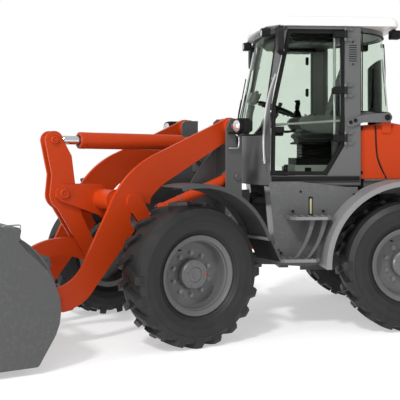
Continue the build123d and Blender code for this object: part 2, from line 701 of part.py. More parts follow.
with BuildPart() as engine:
    block((-2320, -1450), (-280, 280), (engine_z, 1620))
keep("engine", engine)


# ---- hood --------------------------------------------------------------------------
def hood_body(inset):
    """The hood's outside form, or its inside form when inset by the sheet."""
    side = [(-942 - inset, 1000), (-942 - inset, 1965 - inset), (-1290, 2000 - inset),
            (-2380 + inset, 1800 - inset), (-2570 + inset, 1680 - inset), (-2602 + inset, 1000)]
    with BuildPart() as body:
        with BuildSketch(Plane.XZ.offset(hood_w - inset)):
            with BuildLine():
                Polyline(*side, close=True)
            make_face()
        extrude(amount=-2 * (hood_w - inset))
        fillet(body.edges().filter_by(lambda e: abs(e.center().Y) > hood_w - inset - 1)
               .filter_by(lambda e: e.center().Z > 1690 and e.length > 100), 80 - inset)
    return body.part


hood_foot = [(-900, 900), (-900, hood_foot_z), (-2100, hood_foot_z), (-2230, 1256), (-2700, 1256), (-2700, 900)]
seam = [(-1093, 2100), (-1093, 1972), (-1113, 1661), (-1204, 1444), (-1204, 900)]
seam_gap = 8
with BuildPart() as hood_shell:
    add(hood_body(0))
    add(hood_body(hood_t), mode=Mode.SUBTRACT)
    outline_plate(hood_foot, -900, 900, mode=Mode.SUBTRACT)

with BuildPart() as hood_cowl:
    add(hood_shell.part)
    outline_plate([*seam, (-3000, 900), (-3000, 2100)], -900, 900, mode=Mode.SUBTRACT)
    with BuildPart(mode=Mode.PRIVATE) as top_strip:
        add(hood_shell.part)
        block((-1640, -1000), (-600, 600), (1850, 2100), mode=Mode.INTERSECT)
    add(top_strip.part)
    rod_z(stack_at, stack_r + running_gap, 1700, 2100, mode=Mode.SUBTRACT)
keep("hood_cowl", hood_cowl)

with BuildPart() as hood:
    add(hood_shell.part)
    outline_plate([(x - seam_gap, z) for x, z in seam] + [(-800, 900), (-800, 2100)], -900, 900,
                  mode=Mode.SUBTRACT)
    block((-1640 - seam_gap, -1000), (-600 - seam_gap, 600 + seam_gap), (1850, 2100), mode=Mode.SUBTRACT)
    block((-2700, -2560), (-480, 480), (1320, 1660), mode=Mode.SUBTRACT)
    for side in (1, -1):
        outline_plate([(-1250, 1900), (-1160, 1900), (-1160, 2051), (-1250, 2051)],
                      side * (hood_w - 6), side * (hood_w + 14))
        rod_y(hood_hinge, 44, side * (hood_w - 6), side * (hood_w + 14))
        rod_y(hood_hinge, 14, side * hood_w, side * (hood_w + 56))
keep("hood", hood)

with BuildPart() as hood_grille:
    for z in range(1330, 1660, 40):
        block((-2600, -2580), (-480, 480), (z, z + 14))
    block((-2580, -2560), (-480, 480), (1320, 1660))
keep("hood_grille", hood_grille)


# ---- cab ---------------------------------------------------------------------------
def cab_body(inset):
    """The cab's outside form, or its inside form when inset by the wall."""
    w = cab_w - inset

    def plan(z, apex, corner, back):
        with BuildSketch(Plane.XY.offset(z)) as section:
            with BuildLine():
                Line((back, -w), (back, w))
                Line((back, w), (corner, w))
                ThreePointArc((corner, w), (apex, 0), (corner, -w))
                Line((corner, -w), (back, -w))
            make_face()
        return section.sketch

    def bulge(z, apex):
        with BuildSketch(Plane.XY.offset(z)) as section:
            with BuildLine():
                Line((cab_back + 80, -(690 - inset)), (cab_back, -(690 - inset)))
                ThreePointArc((cab_back, -(690 - inset)), (apex, 0), (cab_back, 690 - inset))
                Line((cab_back, 690 - inset), (cab_back + 80, 690 - inset))
                Line((cab_back + 80, 690 - inset), (cab_back + 80, -(690 - inset)))
            make_face()
        return section.sketch

    back = cab_back + inset
    with BuildPart() as body:
        add(plan(cab_floor + inset, cab_nose - inset, cab_corner, back))
        extrude(amount=cab_waist - cab_floor - inset)
        add(plan(cab_waist, cab_nose - inset, cab_corner, back))
        add(plan(cab_top - inset, -28 - inset, -218, back))
        loft()
        add(bulge(cab_shelf + inset, -1440 + inset))
        add(bulge(cab_top - inset, -1360 + inset))
        loft()
    return body.part


door_outline = [(-220, 2905), (-62, 2168), (-52, 1486), (-600, 1486), (-776, 1780), (-776, 2905)]
door_gap, pane_gap = 7, 0.2
with BuildPart() as cab_frame:
    add(cab_body(0))
    add(cab_body(cab_wall), mode=Mode.SUBTRACT)
    for side in (1, -1):
        with BuildSketch(Plane.XZ.offset(-side * 650)) as opening:
            with BuildLine():
                Polyline(*door_outline, close=True)
            make_face()
            offset(amount=door_gap if side > 0 else pane_gap, kind=Kind.INTERSECTION)
        extrude(amount=-side * 200, mode=Mode.SUBTRACT)
    with BuildSketch(Plane.YZ.offset(-330)) as screen:
        with BuildLine():
            Polyline((-640, 1880), (640, 1880), (600, 2880), (-600, 2880), close=True)
        make_face()
    extrude(amount=700, mode=Mode.SUBTRACT)
    block((-1600, -955), (-800, 800), (2110, 2890), mode=Mode.SUBTRACT)
    for side in (1, -1):                          # arms that carry the hood
        outline_plate([(-800, 1965), (-800, 2020), (-960, 2075), (-1204, 2098), (-1204, 2004),
                       (-960, 2000), (-850, 1960)], side * (cab_w + 8), side * (cab_w + 24))
        rod_y(hood_hinge, 47, side * (cab_w + 8), side * (cab_w + 24))
        block((-880, -800), (side * cab_w, side * (cab_w + 8)), (1965, 2010))
        rod_y(hood_hinge, 14 + running_gap, side * 700, side * 800, mode=Mode.SUBTRACT)
        block((-860, -520), (side * 260, side * 340), (1340 + running_gap, cab_floor + 1))
        sill = [(-930, sill_low), (-930, sill_high), (-60, sill_high), (-60, sill_low)]
        outline_plate(sill, side * (cab_w - 1), side * (cab_w + 16), corner=8)
        with BuildSketch(Plane.XZ.offset(-side * (cab_w - 12))) as vent:
            with GridLocations(0, 22, 1, 8):
                with Locations((-864, 2680)):
                    SlotOverall(78, 9)
        extrude(amount=-side * 30, mode=Mode.SUBTRACT)
    for z in hinge_heights:                       # knuckles of the door's hinges
        for low, high in ((z - 66, z - 38), (z + 38, z + 66)):
            block((-860, door_hinge[0]), (cab_w - 2, cab_w + 16), (low, high))
            rod_z(door_hinge, 15, low, high)
        rod_z(door_hinge, hinge_wire_r, z - 60, z + 60)
keep("cab_frame", cab_frame)


def cab_glass_slice(zones, inset, thick):
    """A pane cut from a thin skin of the cab's own form."""
    with BuildPart() as pane:
        add(cab_body(inset))
        add(cab_body(inset + thick), mode=Mode.SUBTRACT)
        for zone in zones:
            add(zone, mode=Mode.INTERSECT)
    return pane.part


with BuildPart() as screen_zone:
    with BuildSketch(Plane.YZ.offset(-330)):
        with BuildLine():
            Polyline((-639.8, 1880.2), (639.8, 1880.2), (599.8, 2879.8), (-599.8, 2879.8), close=True)
        make_face()
    extrude(amount=700)
with BuildPart() as rear_zone:
    block((-1600, -955.2), (-800, 800), (2110.2, 2889.8))
with BuildPart() as cab_glass:
    add(cab_glass_slice([screen_zone.part], 10, 6))
    add(cab_glass_slice([rear_zone.part], 10, 6))
    outline_plate(door_outline, -735, -729)
keep("cab_glass", cab_glass)

with BuildPart() as cab_roof:
    with BuildSketch(Plane.XY.offset(cab_top + running_gap)) as plan:
        with BuildLine():
            Line((-1270, 768), (-30, 768))
            ThreePointArc((-30, 768), (20, 740), (48, 690))
            ThreePointArc((48, 690), (128, 0), (48, -690))
            ThreePointArc((48, -690), (20, -740), (-30, -768))
            Line((-30, -768), (-1270, -768))
            ThreePointArc((-1270, -768), (-1370, -730), (-1410, -640))
            ThreePointArc((-1410, -640), (-1505, 0), (-1410, 640))
            ThreePointArc((-1410, 640), (-1370, 730), (-1270, 768))
        make_face()
    extrude(amount=roof_h)
    fillet(cab_roof.edges().group_by(Axis.Z)[-1], 72)
    fillet(cab_roof.edges().group_by(Axis.Z)[0], 12)
    for side in (1, -1):                          # shallow scoops over the front and rear corners
        for x, turn in ((70, 24), (-1420, -24)):
            scoop = Plane(origin=(x, side * 560, cab_top + roof_h + 8), x_dir=(1, 0, 0), z_dir=(0, 0, 1))
            with BuildSketch(scoop):
                with Locations(Rotation(0, 0, side * turn)):
                    SlotOverall(420, 150)
            extrude(amount=-26, taper=12, mode=Mode.SUBTRACT)
keep("cab_roof", cab_roof)

door_in, door_out = cab_w - 38, cab_w
with BuildPart() as door_frame:
    outline_plate(door_outline, door_in, door_out)
    with BuildSketch(Plane.XZ.offset(-door_in)) as glazing:
        with BuildLine():
            Polyline(*door_outline, close=True)
        make_face()
        offset(amount=-34, kind=Kind.INTERSECTION)
    extrude(amount=-(door_out - door_in), mode=Mode.SUBTRACT)
    for z in hinge_heights:
        block((door_hinge[0], -666), (door_out, door_out + 20), (z - 36, z + 36))
        rod_z(door_hinge, 15, z - 36, z + 36)
        rod_z(door_hinge, hinge_wire_r + running_gap, z - 40, z + 40, mode=Mode.SUBTRACT)
    block((-180, -70), (door_in - 34, door_in + 4), (1878, 1950))    # latch and its lever
    block((-300, -170), (door_in - 34, door_in - 20), (1902, 1922))
    for x, z in ((-770, 2020), (-90, 1978)):      # inner grab bar
        block((x, x + 20), (door_in - 30, door_in + 2), (z - 14, z + 14))
    outline_plate([(-770, 2010), (-770, 2030), (-70, 1986), (-70, 1966)], door_in - 30, door_in - 14)
    for z in hinge_heights:                       # and the upright bar behind the hinges
        block((-770, -680), (door_in - 26, door_in + 2), (z - 20, z + 20))
    block((-700, -680), (door_in - 26, door_in - 10), (hinge_heights[2], hinge_heights[0]))
keep("door_frame", door_frame)
with BuildPart() as door_glass:
    with BuildSketch(Plane.XZ.offset(-(door_in + 14))) as glazing:
        with BuildLine():
            Polyline(*door_outline, close=True)
        make_face()
        offset(amount=-34.2, kind=Kind.INTERSECTION)
    extrude(amount=-6)
keep("door_glass", door_glass)

with BuildPart() as exhaust_stack:
    rod_z(stack_at, stack_r, 1880, 2740)
keep("exhaust_stack", exhaust_stack)

floor_top = cab_floor + cab_wall
bellows_low, seat_plate = 1640, 1790
with BuildPart() as seat_base:
    block((-800, -410), (-210, 210), (floor_top, bellows_low))
    for z in range(bellows_low, seat_plate - 29, 30):    # the bellows over the seat's springs
        with BuildSketch(Plane.XY.offset(z)):
            with Locations((-650, 0)):
                RectangleRounded(320, 330, 50)
        extrude(amount=15, taper=-32)
        with BuildSketch(Plane.XY.offset(z + 15)):
            with Locations((-650, 0)):
                RectangleRounded(338, 348, 58)
        extrude(amount=15, taper=32)
    block((-830, -450), (-180, 180), (seat_plate - 1, seat_plate + 22))
keep("seat_base", seat_base)

with BuildPart() as seat:
    with BuildSketch(Plane.XY.offset(seat_plate + 22)):
        with Locations((-640, 0)):
            RectangleRounded(500, 490, 90)
    extrude(amount=130)
    fillet(seat.edges().group_by(Axis.Z)[-1], 40)
    backrest = [(-760, 1915), (-884, 1915), (-888, 2080), (-1100, 2620), (-1080, 2690), (-1010, 2700),
                (-975, 2620), (-790, 2090)]
    outline_plate(backrest, -215, 215, corner=28)
keep("seat", seat)

with BuildPart() as side_console:
    for side in (1, -1):
        arm = [(-890, 1850), (-560, 1830), (-430, 1890), (-390, 2010), (-410, 2090), (-500, 2112),
               (-740, 2112), (-800, 2060), (-890, 2050)]
        outline_plate(arm, side * 262, side * 360, corner=14)
        block((-840, -760), (side * 270, side * 340), (floor_top, 1900))
    rod_z((-450, -310), 16, 2090, 2190)
    with BuildSketch(Plane.XY.offset(2180)):
        with Locations((-450, -310)):
            Circle(20)
    extrude(amount=90, taper=-6)
    with BuildSketch(Plane.XY.offset(floor_top)):
        with Locations((-560, -470)):
            RectangleRounded(420, 160, 30)
    extrude(amount=430, taper=2)
keep("side_console", side_console)

wheel_hub = (-236, 0, 2160)
wheel_tilt = (-0.35, 0, 0.94)
with BuildPart() as steering_column:
    column = [(-20, floor_top), (110, floor_top), (80, 1800), (-60, 1960), (-180, 2130), (-262, 2105),
              (-120, 1900), (-50, 1780)]
    outline_plate(column, -62, 62, corner=12)
    with BuildSketch(Plane(origin=wheel_hub, x_dir=(0, 1, 0), z_dir=wheel_tilt).offset(-64)):
        Circle(32)
    extrude(amount=76)
    with BuildSketch(Plane(origin=wheel_hub, x_dir=(0, 1, 0), z_dir=wheel_tilt)):
        Circle(44)
        with PolarLocations(95, 3, start_angle=90):
            Rectangle(190, 26)
        Circle(46, mode=Mode.SUBTRACT)
        Circle(46)
    extrude(amount=10)
    hub_plane = Plane(origin=wheel_hub, x_dir=(0, 1, 0), z_dir=wheel_tilt)
    rim_plane = Plane(origin=wheel_hub, x_dir=(0, 1, 0), z_dir=(0.94, 0, 0.35))
    with BuildSketch(rim_plane):
        with Locations((190, 4)):
            Circle(15)
    revolve(axis=Axis(wheel_hub, wheel_tilt))
    for side in (1, -1):                          # lever stalks under the wheel
        block((-190, -160), (side * 55, side * 150), (2060, 2078))
keep("steering_column", steering_column)

with BuildPart() as work_lamps:
    for side in (1, -1):
        for x, y, facing in ((-62, 610, 1), (-1300, 560, -1)):
            with BuildSketch(Plane.YZ.offset(x)):
                with Locations((side * y, 2886)):
                    RectangleRounded(126, 88, 26)
            extrude(amount=facing * 84)
            block((x + facing * 20, x + facing * 50), (side * (y - 20), side * (y + 20)),
                  (2925, cab_top))
keep("work_lamps", work_lamps)

with BuildPart() as mirrors:
    for side in (1, -1):
        with BuildSketch(Plane.YZ.offset(-140)):
            with Locations((side * 880, 2790)):
                RectangleRounded(160, 266, 60)
        extrude(amount=56, taper=10)
        block((-120, -100), (side * 700, side * 880), (2905, 2925))
        block((-120, -100), (side * 862, side * 882), (2800, 2925))
        block((-240, -100), (side * 700, side * 722), (2905, 2925))
    add(cab_body(-running_gap), mode=Mode.SUBTRACT)
keep("mirrors", mirrors)

with BuildPart() as grab_rails:
    for side in (1, -1):
        with BuildLine() as path:
            Spline((-95, side * 764, 2469), (-25, side * 765, 2250), (16, side * 765, 2000),
                   (14, side * 764, 1600))
        with BuildSketch(Plane(origin=path.line @ 0, z_dir=path.line % 0)):
            Circle(12)
        sweep(path=path.line)
        for x, z in ((-80, 2430), (10, 1630)):
            rod_y((x, z), 11, side * 560, side * 764)
    add(cab_body(-running_gap), mode=Mode.SUBTRACT)
keep("grab_rails", grab_rails)


# ---- finish: turn the front half, centre the machine over its footprint, export --------
turned_front = Location((0, 0, 0), (0, 0, steer_at_rest))
placed = {
    name: piece.moved(turned_front) if front else piece for name, (piece, front) in pieces.items()
}
boxes = [piece.bounding_box() for piece in placed.values()]
low = (min(box.min.X for box in boxes), min(box.min.Y for box in boxes))
high = (max(box.max.X for box in boxes), max(box.max.Y for box in boxes))
origin_shift = (-(low[0] + high[0]) / 2, -(low[1] + high[1]) / 2, 0)
for name, piece in placed.items():
    solid = Part(piece.moved(Location(origin_shift)).wrapped)
    solid.label = name
    export_step(solid, f"parts/{name}.step")
    print(name, len(solid.solids()), round(solid.volume / 1e6, 2))
print("origin shift", origin_shift)
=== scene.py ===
import bpy
import bmesh
import json
import math
from mathutils import Matrix, Vector


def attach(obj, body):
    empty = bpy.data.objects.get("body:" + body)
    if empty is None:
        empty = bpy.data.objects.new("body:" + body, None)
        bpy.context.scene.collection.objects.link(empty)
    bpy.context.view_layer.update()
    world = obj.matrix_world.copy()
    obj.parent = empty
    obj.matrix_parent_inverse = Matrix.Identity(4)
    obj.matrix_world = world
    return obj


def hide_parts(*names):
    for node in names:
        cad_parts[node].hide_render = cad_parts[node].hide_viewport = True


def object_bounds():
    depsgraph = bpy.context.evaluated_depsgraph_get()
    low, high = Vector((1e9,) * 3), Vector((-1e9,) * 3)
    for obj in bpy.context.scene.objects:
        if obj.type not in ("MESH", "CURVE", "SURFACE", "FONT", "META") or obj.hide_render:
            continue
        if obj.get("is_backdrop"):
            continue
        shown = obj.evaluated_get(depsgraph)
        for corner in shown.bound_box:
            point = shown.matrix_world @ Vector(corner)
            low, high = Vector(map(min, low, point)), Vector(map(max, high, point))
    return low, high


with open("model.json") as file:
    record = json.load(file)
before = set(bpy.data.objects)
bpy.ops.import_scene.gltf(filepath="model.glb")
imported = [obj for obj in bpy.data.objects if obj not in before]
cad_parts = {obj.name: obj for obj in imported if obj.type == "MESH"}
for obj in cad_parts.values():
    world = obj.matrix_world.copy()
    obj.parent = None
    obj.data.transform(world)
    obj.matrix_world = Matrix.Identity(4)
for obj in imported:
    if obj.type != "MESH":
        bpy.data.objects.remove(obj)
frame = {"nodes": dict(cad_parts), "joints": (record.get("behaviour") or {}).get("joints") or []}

nodes = frame["nodes"]
joints = {j["name"]: j for j in frame["joints"]}
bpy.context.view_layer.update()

# the articulation axis carries the machine's own frame: the rear half lies along X,
# the front half is turned about the axis
steerAt = Vector(joints["steer"]["pos_m"])
steerAt.z = 0
liftAxis = Vector(joints["lift"]["axis"])
frontTurn = math.atan2(liftAxis.x, -liftAxis.y)
rearFrame = Matrix.Translation(steerAt)
frontFrame = rearFrame @ Matrix.Rotation(frontTurn, 4, "Z")
rearBodies = ("chassis", "hood", "door", "wheel_rear_left", "wheel_rear_right")
sides = (1, -1)
hands = {1: "left", -1: "right"}
forwards, outwards, upwards = (1, 0, 0), (0, 1, 0), (0, 0, 1)
print("stage: frame", [round(v, 3) for v in steerAt], round(math.degrees(frontTurn), 2))


# a mesh drawn along its half's own axes becomes a piece that rides with a body
def placeMesh(name, mesh, body, smooth):
    mesh.transform(rearFrame if body in rearBodies else frontFrame)
    piece = bpy.data.objects.new(name, mesh)
    bpy.context.scene.collection.objects.link(piece)
    if smooth:
        mesh.polygons.foreach_set("use_smooth", [True] * len(mesh.polygons))
        mesh.set_sharp_from_angle(angle=math.radians(smooth))
    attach(piece, body)
    return piece


def makePiece(name, bm, finish, body, smooth=35):
    mesh = bpy.data.meshes.new(name)
    bmesh.ops.recalc_face_normals(bm, faces=bm.faces)
    bm.to_mesh(mesh)
    bm.free()
    mesh.materials.append(materials[finish])
    return placeMesh(name, mesh, body, smooth)


# a frame at origin whose Z runs along axis
def axisMatrix(origin, axis, up=(0, 0, 1)):
    z = Vector(axis).normalized()
    hint = Vector(up) if abs(z.dot(Vector(up).normalized())) < 0.98 else Vector((1, 0, 0))
    x = hint.cross(z).normalized()
    y = z.cross(x)
    m = Matrix((x, y, z)).transposed().to_4x4()
    m.translation = Vector(origin)
    return m


# quads between neighbouring rows of vertices
def joinRows(bm, rows, looped=False):
    for low, high in list(zip(rows, rows[1:])) + ([(rows[-1], rows[0])] if looped else []):
        for i in range(len(low)):
            j = (i + 1) % len(low)
            bm.faces.new((low[i], low[j], high[j], high[i]))


# turns (radius, along) points about an axis; a closed profile makes a ring
def addLathe(bm, profile, origin, axis, steps=48, closed=False):
    m = axisMatrix(origin, axis)
    rows = []
    for r, h in profile:
        if r < 1e-6:
            rows.append([bm.verts.new(m @ Vector((0, 0, h)))])
            continue
        row = []
        for i in range(steps):
            a = 2 * math.pi * i / steps
            row.append(bm.verts.new(m @ Vector((r * math.cos(a), r * math.sin(a), h))))
        rows.append(row)
    pairs = list(zip(rows, rows[1:])) + ([(rows[-1], rows[0])] if closed else [])
    for low, high in pairs:
        for i in range(steps):
            j = (i + 1) % steps
            quad = [low[i % len(low)], low[j % len(low)], high[j % len(high)], high[i % len(high)]]
            face = list(dict.fromkeys(quad))
            if len(face) > 2:
                bm.faces.new(face)


# a ring of round section, lying across the axis
def addRing(bm, centre, axis, radius, thick, flat=1.0, steps=56, sides=8):
    section = [(radius + thick * math.cos(2 * math.pi * k / sides),
                flat * thick * math.sin(2 * math.pi * k / sides)) for k in range(sides)]
    addLathe(bm, section, centre, axis, steps, closed=True)


def addTube(bm, points, radius, sides=10, looped=False):
    points = [Vector(p) for p in points]
    count = len(points)
    rows = []
    last = None
    for i, p in enumerate(points):
        if looped:
            ahead = points[(i + 1) % count] - points[i - 1]
        else:
            ahead = points[min(i + 1, count - 1)] - points[max(i - 1, 0)]
        z = ahead.normalized()
        x = (last - z * last.dot(z)).normalized() if last else axisMatrix((0, 0, 0), z).col[0].xyz
        last = x
        y = z.cross(x)
        row = []
        for k in range(sides):
            a = 2 * math.pi * k / sides
            row.append(bm.verts.new(p + (x * math.cos(a) + y * math.sin(a)) * radius))
        rows.append(row)
    joinRows(bm, rows, looped)
    if not looped:
        bm.faces.new(rows[0][::-1])
        bm.faces.new(rows[-1])


# points along a Catmull-Rom curve through the given ones
def smoothPath(points, steps=8):
    points = [Vector(p) for p in points]
    padded = [points[0] * 2 - points[1], *points, points[-1] * 2 - points[-2]]
    path = []
    for a, b, c, d in zip(padded, padded[1:], padded[2:], padded[3:]):
        for i in range(steps):
            t = i / steps
            path.append(0.5 * (2 * b + (c - a) * t + (2 * a - 5 * b + 4 * c - d) * t * t
                               + (3 * b - a - 3 * c + d) * t ** 3))
    path.append(points[-1])
    return path


def addBox(bm, low, high, bevel=0.0, segments=2, turn=None):
    centre = (Vector(low) + Vector(high)) / 2
    size = [abs(b - a) for a, b in zip(low, high)]
    m = Matrix.Translation(centre) @ (turn or Matrix()) @ Matrix.Diagonal((*size, 1))
    made = bmesh.ops.create_cube(bm, size=1, matrix=m)
    if bevel:
        edges = list({e for v in made["verts"] for e in v.link_edges})
        bmesh.ops.bevel(bm, geom=edges, offset=bevel, segments=segments, affect="EDGES")


# a solid between two outlines of equal count
def addPrism(bm, near, far, bevel=0.0):
    near, far = [[bm.verts.new(p) for p in outline] for outline in (near, far)]
    faces = [bm.faces.new(near), bm.faces.new(far[::-1])]
    for i in range(len(near)):
        j = (i + 1) % len(near)
        faces.append(bm.faces.new((near[i], far[i], far[j], near[j])))
    if bevel:
        bmesh.ops.recalc_face_normals(bm, faces=faces)
        bmesh.ops.bevel(bm, geom=list({e for f in faces for e in f.edges}), offset=bevel, segments=2,
                        affect="EDGES")


# a plate with an (X, Z) outline standing between two Y values
def addPlate(bm, outline, yFrom, yTo, bevel=0.0):
    addPrism(bm, [(x, yTo, z) for x, z in outline], [(x, yFrom, z) for x, z in outline], bevel)


# a slab with an (X, Y) outline lying between two heights
def addSlab(bm, outline, low, high, bevel=0.0):
    addPrism(bm, [(x, y, low) for x, y in outline], [(x, y, high) for x, y in outline], bevel)


def mirrored(points, side):
    return [(x, side * y, z) for x, y, z in points]


def circlePoints(centre, radius, count, start=0.0, sweep=360.0, y=0.0):
    return [(centre[0] + radius * math.cos(math.radians(start + sweep * i / count)), y,
             centre[1] + radius * math.sin(math.radians(start + sweep * i / count)))
            for i in range(count + (sweep < 360))]


# sets a node's inputs by name, or links another node's output into them
def feed(tree, node, **values):
    for key, value in values.items():
        socket = node.inputs[key.replace("_", " ")]
        if hasattr(value, "is_output"):
            tree.links.new(value, socket)
        else:
            socket.default_value = value


def addNode(tree, kind, **values):
    node = tree.nodes.new(kind)
    for key, value in values.items():
        if hasattr(node, key):
            setattr(node, key, value)
        else:
            feed(tree, node, **{key: value})
    return node


def newTree(kind, name, inputs, outputs):
    tree = bpy.data.node_groups.new(name, kind)
    for label, socketKind, value in inputs:
        socket = tree.interface.new_socket(label, in_out="INPUT", socket_type=socketKind)
        if value is not None:
            socket.default_value = value
    for label, socketKind in outputs:
        tree.interface.new_socket(label, in_out="OUTPUT", socket_type=socketKind)
    return tree, tree.nodes.new("NodeGroupInput").outputs, tree.nodes.new("NodeGroupOutput").inputs


# Geometry Nodes fields: points carry an aim and a size, the tree stands a shape on each
fieldHead = [("Geometry", "NodeSocketGeometry", None), ("Material", "NodeSocketMaterial", None)]
fieldOut = [("Geometry", "NodeSocketGeometry")]


def finishField(tree, given, out, points, shape, rotation, scale):
    placed = addNode(tree, "GeometryNodeInstanceOnPoints", Points=points, Instance=shape, Rotation=rotation,
                     Scale=scale)
    real = addNode(tree, "GeometryNodeRealizeInstances", Geometry=placed.outputs[0])
    dressedField = addNode(tree, "GeometryNodeSetMaterial", Geometry=real.outputs[0],
                           Material=given["Material"])
    tree.links.new(dressedField.outputs[0], out["Geometry"])
    return tree


def pointValue(tree, name, kind):
    node = addNode(tree, "GeometryNodeInputNamedAttribute", data_type=kind)
    node.inputs["Name"].default_value = name
    return node.outputs["Attribute"]


def lifted(tree, geometry, height):
    half = addNode(tree, "ShaderNodeMath", operation="MULTIPLY")
    tree.links.new(height, half.inputs[0])
    half.inputs[1].default_value = 0.5
    up = addNode(tree, "ShaderNodeCombineXYZ", Z=half.outputs[0])
    return addNode(tree, "GeometryNodeTransform", Geometry=geometry, Translation=up.outputs[0]).outputs[0]


def buildBoltField():
    tree, given, out = newTree("GeometryNodeTree", "boltField", fieldHead + [
        ("Sides", "NodeSocketInt", 6), ("Head Radius", "NodeSocketFloat", 0.577),
        ("Head Height", "NodeSocketFloat", 0.6), ("Washer Radius", "NodeSocketFloat", 0.8),
        ("Washer Height", "NodeSocketFloat", 0.16), ("Stud Radius", "NodeSocketFloat", 0.26),
        ("Stud Height", "NodeSocketFloat", 0.7)], fieldOut)
    join = addNode(tree, "GeometryNodeJoinGeometry")
    for corners, radius, height in ((14, "Washer Radius", "Washer Height"),
                                    (None, "Head Radius", "Head Height"),
                                    (10, "Stud Radius", "Stud Height")):
        ring = addNode(tree, "GeometryNodeMeshCylinder", Vertices=corners or given["Sides"],
                       Radius=given[radius], Depth=given[height])
        tree.links.new(lifted(tree, ring.outputs[0], given[height]), join.inputs[0])
    turned = addNode(tree, "FunctionNodeAlignRotationToVector", axis="Z",
                     Vector=pointValue(tree, "aim", "FLOAT_VECTOR"))
    return finishField(tree, given, out, given["Geometry"], join.outputs[0], turned.outputs[0],
                       pointValue(tree, "size", "FLOAT"))


def buildSlatField():
    tree, given, out = newTree("GeometryNodeTree", "slatField", fieldHead + [
        ("Sides", "NodeSocketInt", 10)], fieldOut)
    rod = addNode(tree, "GeometryNodeMeshCylinder", Vertices=given["Sides"], Radius=0.5, Depth=1.0)
    turned = addNode(tree, "FunctionNodeAlignRotationToVector", axis="Z",
                     Vector=pointValue(tree, "aim", "FLOAT_VECTOR"))
    return finishField(tree, given, out, given["Geometry"], rod.outputs[0], turned.outputs[0],
                       pointValue(tree, "stretch", "FLOAT_VECTOR"))


def buildWeldField():
    tree, given, out = newTree("GeometryNodeTree", "weldField", fieldHead + [
        ("Bead", "NodeSocketFloat", 0.006), ("Pitch", "NodeSocketFloat", 0.007)], fieldOut)
    curve = addNode(tree, "GeometryNodeMeshToCurve", Mesh=given["Geometry"])
    spaced = addNode(tree, "GeometryNodeResampleCurve", mode="LENGTH", Curve=curve.outputs[0],
                     Length=given["Pitch"])
    bead = addNode(tree, "GeometryNodeMeshUVSphere", Segments=8, Rings=5, Radius=given["Bead"])
    tangent = addNode(tree, "GeometryNodeInputTangent")
    turned = addNode(tree, "FunctionNodeAlignRotationToVector", axis="Z", Vector=tangent.outputs[0])
    return finishField(tree, given, out, spaced.outputs[0], bead.outputs[0], turned.outputs[0], (1, 1, 0.75))


fields = {"bolt": buildBoltField(), "slat": buildSlatField(), "weld": buildWeldField()}


# runs a field over a point mesh and keeps the result as a plain mesh
def growField(name, kind, source, values, finish, body, smooth):
    values["Material"] = materials[finish]
    holder = bpy.data.objects.new(name + "Points", source)
    bpy.context.scene.collection.objects.link(holder)
    modifier = holder.modifiers.new("field", "NODES")
    modifier.node_group = fields[kind]
    for item in fields[kind].interface.items_tree:
        if item.item_type == "SOCKET" and item.in_out == "INPUT" and item.name in values:
            modifier[item.identifier] = values[item.name]
    evaluated = holder.evaluated_get(bpy.context.evaluated_depsgraph_get())
    mesh = bpy.data.meshes.new_from_object(evaluated)
    holder.modifiers.remove(modifier)
    bpy.data.objects.remove(holder)
    mesh.name = name
    for attribute in ("aim", "size", "stretch"):
        if attribute in mesh.attributes:
            mesh.attributes.remove(mesh.attributes[attribute])
    return placeMesh(name, mesh, body, smooth)


def pointMesh(name, places, edges=()):
    mesh = bpy.data.meshes.new(name)
    mesh.from_pydata([tuple(p) for p in places], edges, [])
    return mesh


# bolts: (place, aim, width across flats)
def growBolts(name, bolts, finish, body, slotName="pin_steel", **values):
    mesh = pointMesh(name, [b[0] for b in bolts])
    mesh.attributes.new("aim", "FLOAT_VECTOR", "POINT")
    mesh.attributes.new("size", "FLOAT", "POINT")
    aim, size = mesh.attributes["aim"], mesh.attributes["size"]
    for i, (_, direction, across) in enumerate(bolts):
        aim.data[i].vector = direction
        size.data[i].value = across
    return growField(name, "bolt", mesh, values, finish, body, 30)


# bolts given on the left side and mirrored to the right: (places, aim, width across flats)
def mirroredBolts(*rows):
    return [((x, side * y, z), (aim[0], side * aim[1], aim[2]), across)
            for places, aim, across in rows for side in sides for x, y, z in places]


# slats: (start, end, width, thickness)
def growSlats(name, slats, finish, body, slotName=None, **values):
    mesh = pointMesh(name, [(Vector(a) + Vector(b)) / 2 for a, b, _, _ in slats])
    mesh.attributes.new("aim", "FLOAT_VECTOR", "POINT")
    mesh.attributes.new("stretch", "FLOAT_VECTOR", "POINT")
    aim, stretch = mesh.attributes["aim"], mesh.attributes["stretch"]
    for i, (a, b, wide, thick) in enumerate(slats):
        run = Vector(b) - Vector(a)
        aim.data[i].vector = run.normalized()
        stretch.data[i].vector = (wide, thick, run.length)
    return growField(name, "slat", mesh, values, finish, body, 40)


# welds: lists of points, closed into loops where asked
def growWelds(name, runs, finish, body, looped=True, **values):
    places, edges = [], []
    for run in runs:
        first = len(places)
        places += run
        edges += [(first + i, first + i + 1) for i in range(len(run) - 1)]
        if looped:
            edges.append((len(places) - 1, first))
    return growField(name, "weld", pointMesh(name, places, edges), values, finish, body, 60)


print("stage: fields", sorted(fields))


def noiseAt(tree, vector, scale, detail=4, rough=0.55):
    noise = addNode(tree, "ShaderNodeTexNoise", Scale=scale, Detail=detail, Roughness=rough, Vector=vector)
    return noise.outputs["Fac"]


def rampAt(tree, value, low, high):
    ramp = addNode(tree, "ShaderNodeMapRange", clamp=True, Value=value, From_Min=low, From_Max=high)
    return ramp.outputs["Result"]


def mathAt(tree, operation, a, b):
    node = addNode(tree, "ShaderNodeMath", operation=operation)
    for i, v in enumerate((a, b)):
        if isinstance(v, (int, float)):
            node.inputs[i].default_value = v
        else:
            tree.links.new(v, node.inputs[i])
    return node.outputs[0]


def timesAt(tree, a, b):
    return mathAt(tree, "MULTIPLY", a, b)


